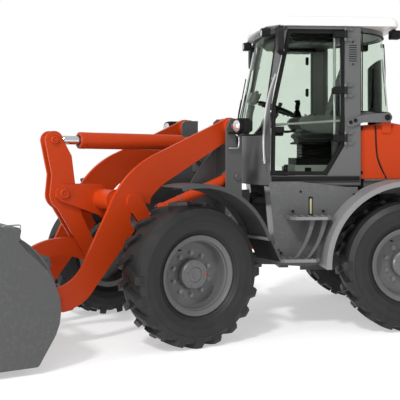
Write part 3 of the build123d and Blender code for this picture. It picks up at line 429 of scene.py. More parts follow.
def plusAt(tree, a, b):
    return mathAt(tree, "ADD", a, b)


def mixAt(tree, factor, a, b):
    node = addNode(tree, "ShaderNodeMix", data_type="RGBA")
    for socket, v in ((node.inputs[0], factor), (node.inputs[6], a), (node.inputs[7], b)):
        if isinstance(v, (tuple, list)):
            socket.default_value = (*v[:3], 1)
        elif isinstance(v, (int, float)):
            socket.default_value = v
        else:
            tree.links.new(v, socket)
    return node.outputs[2]


# masks shared by every outdoor finish: dust that grows towards the ground, and pointy edges, which carry
# rubbed wear on most finishes and a painted highlight on the orange paint
def buildSurfaceMasks():
    group, given, out = newTree("ShaderNodeTree", "surfaceMasks", [
        ("Dust From", "NodeSocketFloat", 1.1), ("Dust Grain", "NodeSocketFloat", 5.5),
        ("Edge", "NodeSocketFloat", 0.56)], [
        ("Dust", "NodeSocketFloat"), ("Cloud", "NodeSocketFloat"), ("EdgeMask", "NodeSocketFloat")])
    coords = addNode(group, "ShaderNodeTexCoord").outputs["Object"]
    split = addNode(group, "ShaderNodeSeparateXYZ", Vector=coords)
    low = rampAt(group, split.outputs["Z"], 1.1, 0.05)
    group.links.new(given["Dust From"], low.node.inputs["From Min"])
    patches = rampAt(group, noiseAt(group, coords, given["Dust Grain"], 6), 0.42, 0.72)
    speckle = rampAt(group, noiseAt(group, coords, 55, 3), 0.45, 0.75)
    dust = timesAt(group, low, plusAt(group, timesAt(group, patches, 0.7),
                                      timesAt(group, speckle, 0.3)))
    cloud = rampAt(group, noiseAt(group, coords, 1.7, 3), 0.3, 0.7)
    edge = addNode(group, "ShaderNodeNewGeometry").outputs["Pointiness"]
    pointyEdges = rampAt(group, edge, 0.56, 0.66)
    group.links.new(given["Edge"], pointyEdges.node.inputs["From Min"])
    broken = rampAt(group, noiseAt(group, coords, 34, 5), 0.5, 0.62)
    group.links.new(dust, out["Dust"])
    group.links.new(cloud, out["Cloud"])
    group.links.new(timesAt(group, pointyEdges, broken), out["EdgeMask"])
    return group


surfaceMasks = buildSurfaceMasks()


def newMaterial(name):
    material = bpy.data.materials.new(name)
    material.use_nodes = True
    tree = material.node_tree
    coords = addNode(tree, "ShaderNodeTexCoord").outputs["Object"]
    return material, tree, tree.nodes["Principled BSDF"], coords


def bumpInto(tree, shader, height, strength, distance):
    bump = addNode(tree, "ShaderNodeBump", Strength=strength, Distance=distance, Height=height)
    tree.links.new(bump.outputs["Normal"], shader.inputs["Normal"])


# paint or plastic: colour that drifts a little, dust low down, a lighter colour on the edges (rubbed wear,
# and on the orange paint a painted highlight), fine orange peel
def coatedMaterial(name, values):
    material, tree, shader, coords = newMaterial(name)
    masks = addNode(tree, "ShaderNodeGroup", node_tree=surfaceMasks).outputs
    drifted = [c * values["drift"] for c in values["colour"]]
    base = mixAt(tree, masks["Cloud"], values["colour"], drifted)
    # the edge colour goes onto pointy edges: wear on most finishes, a painted highlight along the orange
    # paint's edges
    edged = mixAt(tree, timesAt(tree, masks["EdgeMask"], values["edgeMix"]), base, values["under"])
    dusty = mixAt(tree, timesAt(tree, masks["Dust"], values["dust"]), edged, dirtColour)
    rough = plusAt(tree, values["rough"], timesAt(tree, masks["Dust"], 0.3 * values["dust"]))
    patchy = plusAt(tree, rough, timesAt(tree, noiseAt(tree, coords, 14, 5), values["patch"]))
    feed(tree, shader, Base_Color=dusty, Roughness=patchy, Metallic=values.get("metal", 0),
         Coat_Weight=values.get("coat", 0), Coat_Roughness=0.14, Specular_IOR_Level=values.get("shine", 0.5))
    bumpInto(tree, shader, noiseAt(tree, coords, values["grain"], 3), values["bump"], 0.002)
    return material


dirtColour = (0.16, 0.14, 0.115)
coats = {
    # the orange paint's lighter edge colour is a painted highlight along its edges
    "bodyPaint": dict(colour=(0.44, 0.04, 0.005), drift=0.95, under=(0.62, 0.09, 0.018), edgeMix=0.06,
                      dust=0.02, rough=0.36, patch=0.05, grain=240, bump=0.03, coat=0.04, shine=0.16),
    "framePaint": dict(colour=(0.088, 0.089, 0.089), drift=0.9, under=(0.2, 0.2, 0.2), edgeMix=0.25, dust=0.2,
                       rough=0.4, patch=0.1, grain=200, bump=0.05, coat=0.08, shine=0.35),
    "cabPaint": dict(colour=(0.098, 0.099, 0.1), drift=0.92, under=(0.22, 0.22, 0.22), edgeMix=0.2, dust=0.1,
                     rough=0.36, patch=0.1, grain=220, bump=0.04, coat=0.12, shine=0.4),
    "fenderDark": dict(colour=(0.055, 0.056, 0.057), drift=0.88, under=(0.12, 0.12, 0.12), edgeMix=0.2,
                       dust=0.2, rough=0.44, patch=0.12, grain=420, bump=0.1, shine=0.4),
    "fenderPaint": dict(colour=(0.2, 0.201, 0.202), drift=0.92, under=(0.25, 0.25, 0.25), edgeMix=0.2,
                        dust=0.18, rough=0.36, patch=0.1, grain=300, bump=0.05, coat=0.12, shine=0.4),
    "rimPaint": dict(colour=(0.105, 0.106, 0.107), drift=0.9, under=(0.28, 0.28, 0.28), edgeMix=0.3, dust=0.2,
                     rough=0.32, patch=0.12, grain=200, bump=0.05, coat=0.15, shine=0.45),
    "roofPaint": dict(colour=(0.82, 0.82, 0.81), drift=0.97, under=(0.6, 0.6, 0.58), edgeMix=0.1, dust=0.05,
                      rough=0.3, patch=0.08, grain=160, bump=0.03, coat=0.15),
    "bucketPaint": dict(colour=(0.082, 0.083, 0.084), drift=0.98, under=(0.17, 0.17, 0.17), edgeMix=0.3,
                        dust=0.04, rough=0.5, patch=0.03, grain=150, bump=0.01, shine=0.2),
    "wornEdge": dict(colour=(0.3, 0.29, 0.285), drift=0.75, under=(0.45, 0.44, 0.43), edgeMix=0.6, dust=0.3,
                     rough=0.38, patch=0.3, grain=90, bump=0.12, metal=0.8),
    "blackPlastic": dict(colour=(0.0055, 0.0055, 0.006), drift=1.4, under=(0.04, 0.04, 0.04), edgeMix=0.15,
                         dust=0.06, rough=0.42, patch=0.14, grain=600, bump=0.08, shine=0.2),
    "blackRubber": dict(colour=(0.007, 0.007, 0.007), drift=1.5, under=(0.03, 0.03, 0.03), edgeMix=0.12,
                        dust=0.1, rough=0.62, patch=0.18, grain=380, bump=0.12, shine=0.15),
    "greyPlastic": dict(colour=(0.15, 0.153, 0.15), drift=0.88, under=(0.3, 0.3, 0.3), edgeMix=0.1, dust=0.0,
                        rough=0.42, patch=0.12, grain=700, bump=0.12, shine=0.4),
    "paleTrim": dict(colour=(0.62, 0.63, 0.6), drift=0.9, under=(0.45, 0.45, 0.42), edgeMix=0.1, dust=0.0,
                     rough=0.5, patch=0.1, grain=700, bump=0.12, shine=0.3),
    "stackPaint": dict(colour=(0.006, 0.006, 0.0062), drift=1.5, under=(0.03, 0.03, 0.03), edgeMix=0.1,
                       dust=0.0, rough=0.16, patch=0.1, grain=120, bump=0.03, coat=0.5, shine=0.4),
    "enginePaint": dict(colour=(0.05, 0.05, 0.052), drift=0.85, under=(0.15, 0.15, 0.15), edgeMix=0.4, dust=0.4,
                        rough=0.5, patch=0.2, grain=90, bump=0.3),
    "boltZinc": dict(colour=(0.2, 0.2, 0.205), drift=0.8, under=(0.4, 0.4, 0.4), edgeMix=0.4, dust=0.2,
                     rough=0.34, patch=0.2, grain=300, bump=0.08, metal=0.6),
    "railSteel": dict(colour=(0.42, 0.425, 0.43), drift=0.9, under=(0.6, 0.6, 0.6), edgeMix=0.3, dust=0.1,
                      rough=0.28, patch=0.16, grain=300, bump=0.05, metal=0.7),
    "redPlastic": dict(colour=(0.45, 0.012, 0.01), drift=0.8, under=(0.4, 0.1, 0.1), edgeMix=0.1, dust=0.1,
                       rough=0.16, patch=0.06, grain=60, bump=0.05, coat=0.5),
    "gaugeScale": dict(colour=(0.52, 0.47, 0.24), drift=0.85, under=(0.5, 0.5, 0.4), edgeMix=0.1, dust=0.1,
                       rough=0.22, patch=0.08, grain=120, bump=0.03, coat=0.4),
}
materials = {name: coatedMaterial(name, values) for name, values in coats.items()}


def buildTyreRubber():
    material, tree, shader, coords = newMaterial("tyreRubber")
    masks = addNode(tree, "ShaderNodeGroup", node_tree=surfaceMasks).outputs
    scuff = rampAt(tree, noiseAt(tree, coords, 9, 7, 0.65), 0.42, 0.75)
    base = mixAt(tree, scuff, (0.0125, 0.0125, 0.0128), (0.018, 0.0178, 0.0175))
    edged = mixAt(tree, timesAt(tree, masks["EdgeMask"], 0.35), base, (0.04, 0.039, 0.038))
    dusty = mixAt(tree, timesAt(tree, masks["Dust"], 0.14), edged, (0.1, 0.09, 0.078))
    feed(tree, shader, Base_Color=dusty, Roughness=plusAt(tree, 0.46, timesAt(tree, scuff, 0.2)),
         Specular_IOR_Level=0.35)
    height = plusAt(tree, noiseAt(tree, coords, 130, 5), timesAt(tree, scuff, 0.6))
    bumpInto(tree, shader, height, 0.16, 0.002)
    return material


def buildCabGlass():
    material, tree, shader, coords = newMaterial("cabGlassGreen")
    film = rampAt(tree, noiseAt(tree, coords, 4, 5), 0.35, 0.8)
    tint = mixAt(tree, film, (0.775, 0.838, 0.778), (0.74, 0.806, 0.745))
    feed(tree, shader, Base_Color=tint, Roughness=timesAt(tree, film, 0.03), Transmission_Weight=1, IOR=1.04)
    return material


# polished metal under a breath of haze
def buildBright(name, scale, detail, clear, dull, blur):
    material, tree, shader, coords = newMaterial(name)
    haze = noiseAt(tree, coords, scale, detail)
    feed(tree, shader, Base_Color=mixAt(tree, haze, clear, dull), Roughness=timesAt(tree, haze, blur),
         Metallic=1)
    return material


def buildSeatCloth():
    material, tree, shader, coords = newMaterial("seatCloth")
    weave = []
    for turn in ((0.3, 0.8, 0), (0.3, 0, 1.57)):
        turned = addNode(tree, "ShaderNodeMapping", Vector=coords, Rotation=turn).outputs[0]
        wave = addNode(tree, "ShaderNodeTexWave", Scale=160, Distortion=0.6, Detail=2, Vector=turned)
        weave.append(wave.outputs["Fac"])
    cross = timesAt(tree, *weave)
    shade = rampAt(tree, noiseAt(tree, coords, 22, 4), 0.35, 0.7)
    tone = mixAt(tree, shade, (0.02, 0.02, 0.022), (0.035, 0.035, 0.038))
    feed(tree, shader, Base_Color=mixAt(tree, cross, tone, (0.055, 0.055, 0.06)),
         Roughness=plusAt(tree, 0.76, timesAt(tree, shade, 0.15)), Sheen_Weight=0.3)
    bumpInto(tree, shader, cross, 0.35, 0.001)
    return material


def buildLampLens():
    material, tree, shader, coords = newMaterial("lampLens")
    cells = addNode(tree, "ShaderNodeTexVoronoi", Scale=75, Vector=coords).outputs["Distance"]
    warm = rampAt(tree, noiseAt(tree, coords, 26, 3), 0.45, 0.62)
    bright = mixAt(tree, warm, (0.85, 0.85, 0.86), (0.8, 0.6, 0.5))
    feed(tree, shader, Base_Color=mixAt(tree, cells, bright, (0.4, 0.4, 0.42)),
         Roughness=plusAt(tree, 0.08, timesAt(tree, cells, 0.1)), Metallic=0.55, Coat_Weight=1)
    bumpInto(tree, shader, cells, 0.5, 0.004)
    return material


materials.update(
    tyreRubber=buildTyreRubber(), cabGlassGreen=buildCabGlass(), seatCloth=buildSeatCloth(),
    rodChrome=buildBright("rodChrome", 30, 6, (0.82, 0.83, 0.85), (0.68, 0.69, 0.71), 0.2),
    lampLens=buildLampLens(),
    mirrorFace=buildBright("mirrorFace", 12, 4, (0.86, 0.88, 0.9), (0.76, 0.78, 0.8), 0.06))
print("stage: materials", len(materials))

finishes = {
    "bodyPaint": "hood hood_cowl boom bell_crank tilt_link tilt_barrel lift_barrel_left lift_barrel_right"
                 " steer_barrel_left steer_barrel_right crank_pin link_pin",
    "framePaint": "front_frame rear_frame hinge_yoke front_axle rear_axle counterweight",
    "cabPaint": "cab_frame side_tanks steps",
    "fenderDark": "front_fenders",
    "fenderPaint": "rear_fenders",
    "rimPaint": "rim_front_left rim_front_right rim_rear_left rim_rear_right",
    "tyreRubber": "tyre_front_left tyre_front_right tyre_rear_left tyre_rear_right",
    "roofPaint": "cab_roof",
    "bucketPaint": "bucket quick_coupler",
    "rodChrome": "lift_rod_left lift_rod_right tilt_rod steer_rod_left steer_rod_right",
    "boltZinc": "bucket_pins",
    "railSteel": "grab_rails",
    "cabGlassGreen": "cab_glass door_glass",
    "blackPlastic": "hood_grille door_frame seat_base steering_column mirrors work_lamps head_lamps"
                    " exhaust_stack",
    "greyPlastic": "side_console",
    "seatCloth": "seat",
    "lampLens": "lamp_lenses",
    "redPlastic": "tail_lamps",
    "enginePaint": "engine",
}
for finish, names in finishes.items():
    for name in names.split():
        mesh = nodes[name].data
        mesh.materials.clear()
        mesh.materials.append(materials[finish])
        mesh.polygons.foreach_set("use_smooth", [True] * len(mesh.polygons))
        mesh.set_sharp_from_angle(angle=math.radians(32))
dressed = {n for names in finishes.values() for n in names.split()}
print("stage: finishes, bare nodes", sorted(set(nodes) - dressed))

wheelValues = {
    "centreX": 1.32, "centreY": 0.9, "axleHeight": 0.6385,
    "discFace": 0.012, "hubFace": 0.098, "studCircle": 0.186, "studCount": 10, "studStart": 18,
    "nutAcross": 0.033, "capScrewCircle": 0.1, "capScrewCount": 8, "capScrewStart": 22,
    "capScrewAcross": 0.015, "plugRadius": 0.011, "valveRadius": 0.25,
    "wallRings": ((0.384, 0.1655, 0.0035), (0.448, 0.1908, 0.003), (0.531, 0.1935, 0.003)),
    "discRings": ((0.001, 0.142, 0.006, 0.6, 64), (-0.001, 0.232, 0.005, 0.5, 72),
                  (0.1425, 0.345, 0.0035, 0.8, 88)),
    "hubCap": ((0.067, 0), (0.067, 0.003), (0.06, 0.006), (0.03, 0.006), (0.024, 0.002), (0, 0.002)),
    "valve": ((0.009, 0), (0.009, 0.006), (0.005, 0.01), (0.005, 0.032), (0.0065, 0.033),
              (0.0065, 0.045), (0, 0.046)),
    "discWeld": 0.284,
}
for end, half in ((1, "front"), (-1, "rear")):
    for side in sides:
        v = wheelValues
        body = f"wheel_{half}_{hands[side]}"
        centre = Vector((end * v["centreX"], side * v["centreY"], v["axleHeight"]))
        out = Vector((0, side, 0))

        def onWheel(radius, angle, along, centre=centre, out=out, end=end):
            a = math.radians(angle)
            return centre + Vector((radius * math.cos(a), 0, radius * math.sin(a))) + out * along

        nuts = [(onWheel(v["studCircle"], v["studStart"] + 360 * i / v["studCount"], v["discFace"]), out,
                 v["nutAcross"]) for i in range(v["studCount"])]
        nuts += [(onWheel(v["capScrewCircle"], v["capScrewStart"] + 360 * i / v["capScrewCount"],
                          v["hubFace"] - 0.001), out, v["capScrewAcross"])
                 for i in range(v["capScrewCount"])]
        growBolts("wheelNuts_" + body, nuts, "boltZinc", body, Stud_Height=0.92)
        bm = bmesh.new()
        for radius, along, thick in v["wallRings"]:
            addRing(bm, centre + out * along, out, radius, thick, 0.8, 88, 6)
        makePiece("wallRings_" + body, bm, "tyreRubber", body)
        bm = bmesh.new()
        addLathe(bm, v["hubCap"], centre + out * (v["hubFace"] - 0.009), out, 40)
        for along, radius, thick, flat, steps in v["discRings"]:
            addRing(bm, centre + out * (v["discFace"] + along), out, radius, thick, flat, steps, 6)
        makePiece("hubCover_" + body, bm, "rimPaint", body)
        weld = [onWheel(v["discWeld"], 6 * i, v["discFace"] - 0.001) for i in range(60)]
        growWelds("discWeld_" + body, [weld], "rimPaint", body, Bead=0.0065, Pitch=0.011)
        bm = bmesh.new()
        addLathe(bm, [(v["plugRadius"], 0), (v["plugRadius"], 0.006), (0.008, 0.009), (0, 0.009)],
                 onWheel(0.1, 178 if side > 0 else 2, v["hubFace"] - 0.001), out, 20)
        makePiece("oilPlug_" + body, bm, "redPlastic", body)
        bm = bmesh.new()
        foot = onWheel(v["valveRadius"], 60, v["discFace"] - 0.002)
        addLathe(bm, v["valve"], foot, out, 14)
        makePiece("valveStem_" + body, bm, "blackRubber", body)
print("stage: wheels")

# a pin's flanged head with a grease nipple
pinValues = {
    "boom": {"at": (0.597, 0.542, 1.96), "radius": 0.042, "body": "front"},
    "liftBase": {"at": (0.563, 0.538, 1.469), "radius": 0.034, "body": "front"},
    "crank": {"at": (2.185, 0.113, 1.333), "radius": 0.046, "body": "crank_pin"},
    "crankTop": {"at": (2.27, 0.084, 1.828), "radius": 0.036, "body": "bell_crank"},
    "link": {"at": (1.892, 0.078, 0.76), "radius": 0.038, "body": "link_pin"},
    "bucket": {"at": (2.465, 0.496, 0.435), "radius": 0.042, "body": "bucket_pins"},
}
for name, v in pinValues.items():
    bm = bmesh.new()
    for side in sides:
        x, y, z = v["at"]
        r = v["radius"]
        addLathe(bm, [(r, -0.004), (r, 0.005), (r - 0.004, 0.009), (r * 0.62, 0.009), (r * 0.56, 0.005),
                      (0.008, 0.005), (0.006, 0.014), (0, 0.015)], (x, side * y, z), (0, side, 0), 36)
    finish = "framePaint" if name == "liftBase" else "bodyPaint"
    makePiece("pinHead_" + name, bm, finish, v["body"])

# plates that keep the boom's pins, and the towers' screws
keeperValues = {
    "plate": ((0.521, 1.915), (0.549, 1.915), (0.556, 1.94), (0.556, 1.98), (0.549, 2.005), (0.521, 2.005)),
    "from": 0.5275, "to": 0.534, "bevel": 0.0015,
    "plateScrews": [(0.535, 0.529, 1.93), (0.535, 0.529, 1.99)],
    "footScrews": [(0.545, 0.529, 1.09), (0.657, 0.529, 1.094)],
    "handleScrews": [(0.56, 0.5505, 1.82), (0.56, 0.5505, 1.862)],
    "faceScrews": [(0.502, y, z) for y in (0.06, 0.2) for z in (0.62, 1.3, 1.42)],
}
v = keeperValues
growBolts("keeperBolts_front", mirroredBolts(
    (v["plateScrews"], outwards, 0.016), (v["footScrews"], outwards, 0.02),
    (v["handleScrews"], outwards, 0.014), (v["faceScrews"], forwards, 0.022)), "boltZinc", "front")
bm = bmesh.new()
for side in sides:
    addPlate(bm, v["plate"], side * v["from"], side * v["to"], v["bevel"])
makePiece("pinKeepers", bm, "framePaint", "front")

# the towers' step handles, bent from round bar
handleValues = {"radius": 0.0085,
                "route": ((0.66, 0.526, 1.75), (0.66, 0.549, 1.75), (0.585, 0.55, 1.75),
                          (0.562, 0.55, 1.768), (0.56, 0.549, 1.85), (0.575, 0.526, 1.885))}
bm = bmesh.new()
for side in sides:
    addTube(bm, smoothPath(mirrored(handleValues["route"], side), 6), handleValues["radius"])
makePiece("towerHandles", bm, "railSteel", "front")

# welds round the cross tube, the bosses and along the crank's ears: (middle, radius, y)
weldValues = {
    "boom": (((1.81, 1.278), 0.095, 0.4095), ((0.597, 1.96), 0.083, 0.4095), ((0.597, 1.96), 0.083, 0.4505),
             ((2.465, 0.435), 0.073, 0.4095), ((2.465, 0.435), 0.073, 0.4505),
             ((1.81, 1.278), 0.095, 0.1065), ((1.81, 1.278), 0.095, 0.0735)),
    "crank": (((2.185, 1.333), 0.077, 0.0455), ((2.185, 1.333), 0.077, 0.0715)),
}
for name, body, count, bead in (("boom", "boom", 40, 0.006), ("crank", "bell_crank", 36, 0.005)):
    runs = [circlePoints(c, r, count, y=side * y) for side in sides for c, r, y in weldValues[name]]
    growWelds(name + "Welds", runs, "bodyPaint", body, Bead=bead, Pitch=bead + 0.003)
upright = [[(0.686, side * 0.3255, 1.07 + 0.03 * i) for i in range(28)] for side in sides]
level = [[(0.52 + 0.02 * i, side * 0.3275, 1.0615) for i in range(8)] for side in sides]
growWelds("towerWelds", upright + level, "framePaint", "front", looped=False, Bead=0.006, Pitch=0.009)

# cylinders: gland nuts with their screws, wiper lips and port blocks
cylinderValues = {
    "tilt": {"from": (0.8, 0, 1.8), "to": (2.27, 0, 1.828), "length": 1.2, "radius": 0.068, "tube": 0.078,
             "rod": 0.041, "screws": 8},
    "lift": {"from": (0.563, 0.43, 1.469), "to": (1.545, 0.43, 1.106), "length": 0.88, "radius": 0.054,
             "rod": 0.031, "screws": 6},
}
cylinders = [("tilt", "tilt_barrel", 1, cylinderValues["tilt"])]
cylinders += [("lift" + hands[side].title(), "lift_barrel_" + hands[side], side, cylinderValues["lift"])
              for side in sides]
for name, body, side, v in cylinders:
    start, eye = [Vector((x, side * y, z)) for x, y, z in (v["from"], v["to"])]
    run = (eye - start).normalized()
    up = Vector((0, -side, 0))             # the ports face inwards
    up = (up - run * run.dot(up)).normalized()
    across = run.cross(up)
    gland = start + run * v["length"]
    r = v["radius"]
    bm = bmesh.new()
    addRing(bm, gland - run * 0.062, run, r + 0.0035, 0.004, 1, 48, 6)
    addRing(bm, gland - run * 0.01, run, r + 0.0075, 0.003, 1, 48, 6)
    addRing(bm, start + run * 0.084, run, r - 0.001, 0.005, 1, 48, 6)
    for along in (0.13, v["length"] - 0.1):    # ports, each with its union
        at = start + run * along + up * (r - 0.006)
        addLathe(bm, [(0.019, 0), (0.019, 0.014), (0.015, 0.018), (0.015, 0.021)], at, up, 20)
        addLathe(bm, [(0.013, 0.015), (0.013, 0.032), (0, 0.033)], at, up, 6)
    if "tube" in v:                        # a thicker outer tube
        thick, end = v["tube"], v["length"]
        addLathe(bm, [(r - 0.003, 0.104), (thick - 0.004, 0.104), (thick, 0.108), (thick, end - 0.071),
                      (thick - 0.003, end - 0.068), (thick - 0.003, end - 0.064),
                      (thick + 0.001, end - 0.061), (thick + 0.001, end - 0.008),
                      (thick - 0.004, end - 0.003), (r - 0.003, end - 0.003)], start, run, 56, closed=True)
    makePiece("portsAndRings_" + name, bm, "bodyPaint", body)
    bm = bmesh.new()
    addLathe(bm, [(v["rod"] + 0.0015, -0.004), (v["rod"] + 0.0015, 0.006), (v["rod"] + 0.006, 0.006),
                  (v["rod"] + 0.01, 0.001), (v["rod"] + 0.01, -0.004)], gland, run, 40, closed=True)
    makePiece("wiperLip_" + name, bm, "blackRubber", body)
    ring = r * 0.5 + v["rod"] * 0.5 + 0.007
    growBolts("glandScrews_" + name,
              [(gland + (up * math.cos(a) + across * math.sin(a)) * ring, run, 0.011)
               for a in [2 * math.pi * i / v["screws"] for i in range(v["screws"])]], "boltZinc", body,
              Sides=12)
    # the steel pipe that feeds the rod end runs along the barrel in two clips
    bm = bmesh.new()
    lift = r + 0.02
    pipe = [start + run * along + up * height + across * shift for along, height, shift in (
        (0.13, r + 0.022, 0), (0.15, lift, 0.012), (0.2, lift, 0.022), (v["length"] - 0.2, lift, 0.022),
        (v["length"] - 0.12, lift, 0.012), (v["length"] - 0.1, r + 0.022, 0))]
    addTube(bm, smoothPath(pipe, 5), 0.0065, 8)
    for along in (0.36, 0.72):
        at = start + run * (v["length"] * along) + across * 0.022
        addLathe(bm, [(0.011, -0.009), (0.011, 0.009)], at + up * lift, run, 16)
        addRing(bm, start + run * (v["length"] * along), run, r + 0.0015, 0.003, 2.2, 40, 6)
    makePiece("feedPipe_" + name, bm, "framePaint", body)
print("stage: linkage")

# head lamps: a bezel, the bowl's rim and fins, and the bracket's pivot knob
lampValues = {"at": (0.668, 0.68, 1.962), "radius": 0.06}
bm = bmesh.new()
for side in sides:
    x, y, z = lampValues["at"]
    r = lampValues["radius"]
    addLathe(bm, [(r + 0.001, 0.004), (r + 0.001, 0.012), (r + 0.005, 0.014), (r + 0.008, 0.009),
                  (r + 0.008, -0.006), (r + 0.004, -0.006)], (x, side * y, z), (1, 0, 0), 48, closed=True)
    addLathe(bm, [(0.018, 0), (0.018, 0.008), (0.014, 0.012), (0, 0.012)], (0.61, side * 0.749, z - 0.02),
             (0, side, 0), 18)
    for i in range(5):                     # cooling fins behind the bowl
        addBox(bm, (0.534, side * (0.64 + 0.018 * i), z - 0.036),
               (0.562, side * (0.644 + 0.018 * i), z + 0.036), 0.001)
makePiece("lampBezels", bm, "blackPlastic", "front")
bm = bmesh.new()
for side in sides:
    x, y, z = lampValues["at"]
    addLathe(bm, [(0, 0.034), (0.018, 0.033), (0.034, 0.029), (0.048, 0.021), (0.057, 0.0095),
                  (0.057, 0.006)], (x, side * y, z), (1, 0, 0), 40)
makePiece("lampCrowns", bm, "lampLens", "front")

# mudguards: a rolled bead round the outer edge and carriage bolts on the stays
fenderValues = {"radius": 0.797, "beadRadius": 0.0058,
                "front": {"start": 76, "sweep": 84, "centre": (1.32, 0.6385), "y": 1.0935,
                          "finish": "fenderDark"},
                "rear": {"start": -1.5, "sweep": 151, "centre": (-1.32, 0.6385), "y": 1.0935,
                         "finish": "fenderPaint"}}
for half, body in (("front", "front"), ("rear", "chassis")):
    v = fenderValues[half]
    bm = bmesh.new()
    for side in sides:
        addTube(bm, circlePoints(v["centre"], fenderValues["radius"], 56, v["start"], v["sweep"],
                                 side * v["y"]), fenderValues["beadRadius"], 8)
        addTube(bm, circlePoints(v["centre"], fenderValues["radius"] + 0.0015, 56, v["start"] + 1,
                                 v["sweep"] - 2, side * 0.78), 0.004, 6)
    makePiece("fenderBeads_" + half, bm, v["finish"], body)
places = [(x, y, 1.0225) for x in (0.612, 0.672) for y in (0.6, 0.7)]
growBolts("fenderBolts_front", mirroredBolts((places, upwards, 0.018)), "boltZinc", "front")

# mud flaps: moulded ribs, a skin over the plate and the bar that carries them
flapValues = {"outline": ((0.577, 0.913), (0.4675, 0.709), (0.4735, 0.706), (0.5845, 0.9095)),
              "swell": (-0.003, -0.003, 0.003, 0.003), "inner": 0.7345, "outer": 1.1,
              "ribs": [0.76 + 0.04 * i for i in range(9)], "ribEnds": ((0.581, 0.9), (0.478, 0.716)),
              "bar": ((0.588, 0.738, 0.918), (0.588, 1.098, 0.918)), "barRadius": 0.0145}
v = flapValues
bm = bmesh.new()
for side in sides:
    for y in v["ribs"]:
        addTube(bm, [(x, side * y, z) for x, z in v["ribEnds"]], 0.003, 6)
makePiece("flapRibs", bm, "blackRubber", "front")
bm = bmesh.new()
skin = [(x + out, z) for (x, z), out in zip(v["outline"], v["swell"])]
for side in sides:
    addPlate(bm, skin, side * v["inner"], side * v["outer"], 0.001)
makePiece("flapSkins", bm, "blackRubber", "front")
bm = bmesh.new()
for side in sides:
    addTube(bm, mirrored(v["bar"], side), v["barRadius"], 14)
makePiece("flapBars", bm, "fenderPaint", "front")
print("stage: lamps and mudguards")

# bucket: bolted edge, side cutters, welds, straps down the back, level marks and hook bosses
bucketValues = {
    "floor": 0.062, "lip": 3.8, "halfWidth": 1.15, "edgeBolts": 9,
    "cutter": ((3.768, 0.13), (3.722, 0.13), (3.29, 1.145), (3.325, 1.145)),
    "shellArc": ((2.968, 1.06), (2.86, 0.93), (2.765, 0.79), (2.7, 0.66), (2.668, 0.53), (2.664, 0.42),
                 (2.692, 0.292), (2.76, 0.175), (2.832, 0.066)),
    "straps": (-0.78, -0.26, 0.26, 0.78), "strapHalf": 0.045, "strapThick": 0.012,
    "levelMark": ((3.1, 1.12, 1.152), (3.09, 1.12, 1.1655), (3.03, 1.12, 1.166), (2.975, 1.12, 1.166),
                  (2.962, 1.12, 1.15), (2.975, 1.12, 1.09)),
    "hook": (2.522, 0.5185, 0.754),
}
v = bucketValues
along = [-1.02 + 2.04 * i / (v["edgeBolts"] - 1) for i in range(v["edgeBolts"])]
edgeBolts = [((v["lip"] - 0.09, y, v["floor"] + rise), (0, 0, way), across)
             for rise, way, across in ((0.016, 1, 0.03), (-0.0175, -1, 0.024)) for y in along]
growBolts("edgeBolts", edgeBolts, "wornEdge", "bucket", Sides=14)
bm = bmesh.new()
reach = v["halfWidth"] - 0.018
addBox(bm, (v["lip"] - 0.17, -reach, v["floor"] + 0.0155), (v["lip"] - 0.004, reach, v["floor"] + 0.021),
       0.002)
makePiece("edgeFace", bm, "wornEdge", "bucket")
bm = bmesh.new()
for side in sides:
    addPlate(bm, v["cutter"], side * 1.1335, side * 1.1285, 0.001)
makePiece("sideCutters", bm, "wornEdge", "bucket")
arcPath = smoothPath([(x + 0.004, 0, z) for x, z in v["shellArc"]], 6)
growWelds("shellWelds", [[(p.x + 0.02, side * 1.1325, p.z + 0.002) for p in arcPath] for side in sides],
          "bucketPaint", "bucket", looped=False, Bead=0.006, Pitch=0.009)
bm = bmesh.new()
strip = [(p.x, p.z) for p in arcPath[10:44:3]]
strip += [(x - v["strapThick"], z) for x, z in strip][::-1]
for y in v["straps"]:
    addPlate(bm, strip, y - v["strapHalf"], y + v["strapHalf"])
makePiece("backStraps", bm, "bucketPaint", "bucket")
bm = bmesh.new()
for side in sides:
    addTube(bm, smoothPath(mirrored(v["levelMark"], side), 5), 0.006, 8)
makePiece("levelMarks", bm, "railSteel", "bucket")
bm = bmesh.new()
for side in sides:
    addRing(bm, *mirrored([v["hook"]], side), (0, side, 0), 0.042, 0.004, 1, 36, 6)
makePiece("hookBosses", bm, "bucketPaint", "bucket")
print("stage: bucket")

# cab shell: how far forward the curved nose and how far back the rear pane lie at a place
cabValues = {
    "halfWidth": 0.75, "waist": 1.86, "top": 2.94, "shelf": 2.07,
    "noseLow": 0.184, "noseHigh": -0.028, "cornerLow": -0.052, "cornerHigh": -0.218,
    "back": -0.94, "rearLow": -1.44, "rearHigh": -1.36, "rearHalf": 0.69,
    "door": ((-0.22, 2.905), (-0.062, 2.168), (-0.052, 1.486), (-0.6, 1.486), (-0.776, 1.78),
             (-0.776, 2.905)),
}


def noseX(y, z):
    v = cabValues
    t = max(0, min(1, (z - v["waist"]) / (v["top"] - v["waist"])))
    apex = v["noseLow"] + t * (v["noseHigh"] - v["noseLow"])
    corner = v["cornerLow"] + t * (v["cornerHigh"] - v["cornerLow"])
    sag, half = apex - corner, v["halfWidth"]
    radius = (half * half + sag * sag) / (2 * sag)
    return apex - radius + math.sqrt(radius * radius - y * y)


def rearX(y, z):
    v = cabValues
    t = max(0, min(1, (z - v["shelf"]) / (v["top"] - v["shelf"])))
    sag, half = v["back"] - (v["rearLow"] + t * (v["rearHigh"] - v["rearLow"])), v["rearHalf"]
    radius = (half * half + sag * sag) / (2 * sag)
    return v["back"] - sag + radius - math.sqrt(radius * radius - y * y)


